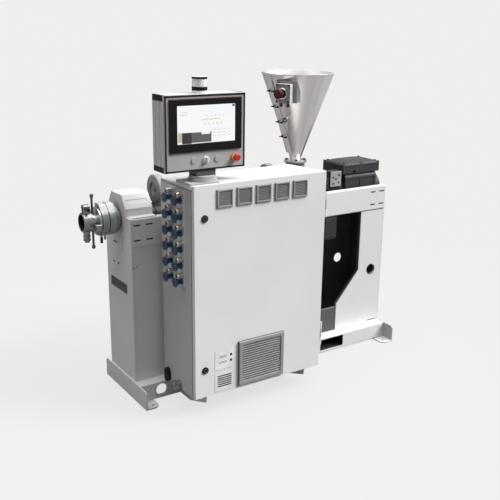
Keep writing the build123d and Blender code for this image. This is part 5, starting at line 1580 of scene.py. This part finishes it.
@dataclass
class OperatorPanel(SubAssembly):
    """Swivelling operator panel with display, switches and signal lamp."""

    coats = {
        Finishes.CASE_GREY: "panel_case", Finishes.SOFT_BLACK: "panel_corner_caps", Finishes.LENS: "signal_beacon",
        Finishes.FRONT_GREY: "panel_front_plate", Finishes.GLASS: "screen_bezel", Finishes.RED: "emergency_stop",
        Finishes.KNOB: "selector_knob", Finishes.SWIVEL: "swivel_base", Finishes.NECK: "swivel_neck",
    }
    middle_x: float = 0.25
    page: tuple[float, float] = (0.340, 0.192)
    page_z: float = 1.632
    switch_z: float = 1.447
    buttons: tuple[float, float] = (-0.075, 0.065)
    stop_shift: float = 0.174
    stop_y: float = -0.4588
    seat: float = 0.006
    seal_width: float = 0.009
    lamp_band: tuple[float, float] = (0.0385, 0.0404)
    front: float = field(init=False)

    def add_pieces(self) -> None:
        """Adds the display page, rings, lamp bands and seals."""
        self.front = corners("screen_bezel")[0][1]
        self.bezel_trim()
        self.display()
        self.switches()
        self.lamp()
        self.case_seal()

    def tile(self, right: float, up: float, width: float, height: float, lift: float = 0.0003) -> Surface:
        """One flat tile of the display page.

        Args:
            right: middle of the tile from the page's middle.
            up: middle of the tile from the page's middle.
            width: its width.
            height: its height.
            lift: how far it lies in front of the page.

        Returns:
            The tile.
        """
        return pad((self.middle_x + right, self.front + 0.001 - lift, self.page_z + up), FRONT,
                   (width, height, 0.001, 3), 0.0002, 0.00005)

    def bezel_trim(self) -> None:
        """Thin dark red seal that stands out a little round the bezel."""
        low, high, (x, _, z) = corners("screen_bezel")
        trim = pad((x + 0.0006, high[1] + 0.0002, z + 0.0006), FRONT,
                   (high[0] - low[0] + 0.003, high[2] - low[2] + 0.003, 0.003), 0.0035, 0.0005)
        add_piece("bezel_trim", [trim], Finishes.TRIM_RED, Body.PANEL)

    def display(self) -> None:
        """A plain page with a dark block, two grey tiles, a trace and pale rows, all without words."""
        rows = [(-0.135, 0.062 - 0.012 * i, 0.045, 0.004) for i in range(2)]
        rows += [(0.045 + 0.03 * i, -0.03 - 0.016 * j, 0.02, 0.004) for i in range(4) for j in range(3)]
        rows += [(-0.01 + 0.024 * i, 0.001, 0.008, 0.008) for i in range(5)]
        rows += [(0.004 + 0.024 * i, 0.042, 0.007, 0.005) for i in range(5)]
        trace = [(-0.024 + 0.016 * i, 0.0225 + 0.0012 * (i % 3), 0.0145, 0.0036) for i in range(7)]
        for name, finish, spots in (
            ("display_page", Finishes.PAGE, [(0, 0, *self.page, 0.0)]),
            ("display_keys", Finishes.PAGE_DARK, [(-0.117, -0.067, 0.055, 0.056)]),
            ("display_tiles", Finishes.PAGE_GREY, [(-0.0605, -0.066, 0.0585, 0.052), (-0.002, -0.066, 0.0585, 0.052)]),
            ("display_side", Finishes.PAGE_TAN, [(-0.156, -0.063, 0.022, 0.049)]),
            ("display_corner", Finishes.PAGE_BLUE, [(0.160, 0.088, 0.014, 0.012)]),
            ("display_trace", Finishes.PAGE_LINE, trace),
            ("display_rows", Finishes.PAGE_SOFT, rows),
            ("display_field", Finishes.PAGE, [(-0.006, -0.045, 0.05, 0.012, 0.0006)]),
        ):
            add_piece(name, [self.tile(*spot) for spot in spots], finish, Body.PANEL)

    def switches(self) -> None:
        """Trim rings round the push buttons, the selector's collar and the yellow plate of the emergency stop."""
        x, z = self.middle_x, self.switch_z
        y = corners("panel_front_plate")[0][1] + self.seat + 0.0004
        dot = turned((x - 0.001, corners("selector_knob")[0][1] + 0.0002, z + 0.009), FRONT,
                     ((0.0, 0.0016), (0.0004, 0.0016), (0.0006, 0.001)), 12)
        for name, parts, finish, slot in (
            ("switch_rings", [hollow_ring((x + dx, y, z), FRONT, 0.0138, 0.0158, 0.0026) for dx in self.buttons],
             Finishes.CAST, "polished_steel"),
            ("selector_collar", [hollow_ring((x - 0.001, y, z), FRONT, 0.0168, 0.0188, 0.003, 0.0008)],
             Finishes.CHROME, "polished_steel"),
            ("stop_plate", [hollow_ring((x + self.stop_shift, self.stop_y, z), FRONT, 0.0122, 0.0226, 0.0012, 0.0003)],
             Finishes.YELLOW, "stop_red"),
            ("selector_mark", [dot], Finishes.MARK, "black_plastic"),
        ):
            add_piece(name, parts, finish, Body.PANEL)

    def lamp(self) -> None:
        """Two black bands of the signal lamp round its pale ribbed lens, whose top stays clear."""
        low, high, (x, y, _) = corners("signal_beacon")
        bands = [hollow_ring((x, y, z), UP, *self.lamp_band, tall, 0.0005, 48)
                 for z, tall in ((low[2] + 0.014, 0.019), (high[2] - 0.0105, 0.0095))]
        add_piece("lamp_caps", bands, Finishes.SOFT_BLACK, Body.PANEL)

    def case_seal(self) -> None:
        """Dark seal in the step between the case and its front plate."""
        low, high, middle = corners("panel_front_plate")
        y, wide, tall = low[1] + self.seat + 0.0005, high[0] - low[0] + 0.008, high[2] - low[2] + 0.008
        level, upright = (wide + 0.01, self.seal_width), (self.seal_width, tall + 0.01)
        sides = ((0, -1, *level), (1, 0, *upright), (0, 1, *level), (-1, 0, *upright))
        bars = [pad((middle[0] + dx * wide / 2, y, middle[2] + dz * tall / 2), FRONT, (w, h, 0.002, 3), 0.003, 0.001)
                for dx, dz, w, h in sides]
        add_piece("panel_front_seal", bars, Finishes.RUBBER, Body.PANEL)


@dataclass
class Studio:
    """Camera, pale floor, world and lamps.

    A fade's four numbers are the values where it starts and ends and its results there. A lamp has its name, the
    direction that its light comes from, its strength and its angle in degrees.
    """

    place: Point = (-1.7176, -3.8463, 2.1355)
    right: Point = (0.83568, -0.54907, 0.01298)
    up: Point = (0.14749, 0.24712, 0.95769)
    forward: Point = (0.52905, 0.79841, -0.28749)
    lens: float = 54.83
    backdrop: Colour = (0.86, 0.86, 0.845)
    ambient: Colour = (0.97, 0.97, 1.0)
    ambient_level: float = 0.067
    floor_middle: Point = (0.9, 0.0, 0.0)
    floor_radii: tuple[float, ...] = (0.5, 2.0, 6.0, 14.0, 40.0)
    floor_shown: Colour = (0.56, 0.56, 0.555)
    floor_fade: tuple[float, ...] = (1.2, 4.0, 0.84, 1.0)
    floor_bounce: float = 0.16
    floor_mirrored: float = 0.45
    mirrored_up: tuple[float, ...] = (-0.1, 0.7, 0.5, 1.0)
    mirrored_right: tuple[float, ...] = (-0.9, 0.9, 0.7, 1.1)
    lamps: tuple[tuple[str, Point, float, float], ...] = (
        ("key_lamp", (0.607, -0.469, 0.641), 3.9, 26.0), ("top_lamp", UP, 2.9, 60.0),
        ("side_lamp", (-1.0, 0.15, 0.25), 0.3, 50.0))

    def build(self) -> None:
        """Sets up the whole studio."""
        bpy.context.scene.view_settings.view_transform = "Standard"
        self.camera()
        self.floor()
        self.world()
        for lamp in self.lamps:
            self.lamp(*lamp)

    def camera(self) -> None:
        """Places the camera as the photograph was taken."""
        data = bpy.data.cameras.new("camera")
        data.lens, data.sensor_width, data.clip_end = self.lens, 36.0, 100.0
        made = bpy.data.objects.new("camera", data)
        turn = Matrix([self.right, self.up, [-c for c in self.forward]]).transposed()
        made.matrix_world = Matrix.Translation(self.place) @ turn.to_4x4()
        bpy.context.scene.collection.objects.link(made)
        bpy.context.scene.camera = made

    @staticmethod
    def by_ray(sheet: Sheet, indirect: object, mirrored: object, direct: object) -> Socket:
        """Picks a shader by the kind of ray that meets it.

        Args:
            sheet: the sheet of the floor or the world.
            indirect: the shader for scattered light.
            mirrored: the shader for mirroring surfaces.
            direct: the shader for the camera and for what is seen through glass.

        Returns:
            The picked shader's socket.
        """
        ray = sheet.node("ShaderNodeLightPath").outputs
        seen = sheet.math("MAXIMUM", ray["Is Camera Ray"], ray["Is Transmission Ray"])
        unseen = sheet.socket("ShaderNodeMixShader", ray["Is Glossy Ray"], indirect, mirrored)
        return sheet.socket("ShaderNodeMixShader", seen, unseen, direct)

    def floor(self) -> None:
        """Pale floor that fades into the backdrop and keeps the machine's shadow."""
        rings = spun(self.floor_middle, UP, [(0.0, radius) for radius in self.floor_radii], 64)
        mesh = bpy.data.meshes.new("floor")
        faces = grid_faces(len(rings), 64, True) + [tuple(range(64))]
        mesh.from_pydata(rings.reshape(-1, 3).tolist(), [], faces)
        work = bmesh.new()
        work.from_mesh(mesh)
        bmesh.ops.recalc_face_normals(work, faces=work.faces)
        if work.faces[0].normal.z < 0.0:
            bmesh.ops.reverse_faces(work, faces=work.faces)
        work.to_mesh(mesh)
        work.free()
        floor = bpy.data.objects.new("floor", mesh)
        bpy.context.scene.collection.objects.link(floor)
        material = bpy.data.materials.new("pale_floor")
        material.use_nodes = True
        nodes = material.node_tree.nodes
        nodes.remove(nodes["Principled BSDF"])
        sheet = Sheet(material.node_tree)
        fade = sheet.spread(sheet.vector("LENGTH", sheet.place(), take="Value"), *self.floor_fade)
        shown = sheet.socket("ShaderNodeMixShader", fade,
                             sheet.socket("ShaderNodeBsdfDiffuse", in_Color=self.floor_shown),
                             sheet.socket("ShaderNodeEmission", in_Color=self.backdrop))
        bounce = sheet.socket("ShaderNodeBsdfDiffuse", in_Color=(self.floor_bounce,) * 3)
        mirrored = sheet.socket("ShaderNodeEmission", in_Color=(self.floor_mirrored,) * 3)
        sheet.fill(nodes["Material Output"], in_Surface=self.by_ray(sheet, bounce, mirrored, shown))
        mesh.materials.append(material)

    def world(self) -> None:
        """Soft ambient light, with the pale backdrop for what the camera, metal and glass see."""
        world = bpy.data.worlds.new("studio")
        world.use_nodes = True
        bpy.context.scene.world = world
        world.node_tree.nodes.clear()
        sheet = Sheet(world.node_tree)
        parts = sheet.parts(sheet.place("Generated"))
        tone = sheet.times(sheet.spread(parts["Z"], *self.mirrored_up), sheet.spread(parts["X"], *self.mirrored_right))
        soft, mirrored, seen = (
            sheet.socket("ShaderNodeBackground", in_Color=colour, in_Strength=level)
            for colour, level in ((self.ambient, self.ambient_level), (self.backdrop, tone), (self.backdrop, 1.0)))
        sheet.node("ShaderNodeOutputWorld", in_Surface=self.by_ray(sheet, soft, mirrored, seen))

    def lamp(self, name: str, source: Point, level: float, spread: float) -> None:
        """Adds one large soft lamp.

        Args:
            name: its name.
            source: the direction that its light comes from.
            level: its strength.
            spread: its angle in degrees.
        """
        data = bpy.data.lights.new(name, "SUN")
        data.energy, data.angle = level, math.radians(spread)
        made = bpy.data.objects.new(name, data)
        made.rotation_mode = "QUATERNION"
        made.rotation_quaternion = Vector(source).to_track_quat("Z", "Y")
        bpy.context.scene.collection.objects.link(made)


def main() -> None:
    """Builds the studio and the machine's sub-assemblies in order."""
    for part in (Studio(), BaseFrame(), Outlet(), Blowers(), Feed(), Drive(), Cabinet(), OperatorPanel()):
        LOG.info("building %s", type(part).__name__)
        part.build()


if __name__ == "__main__":
    main()
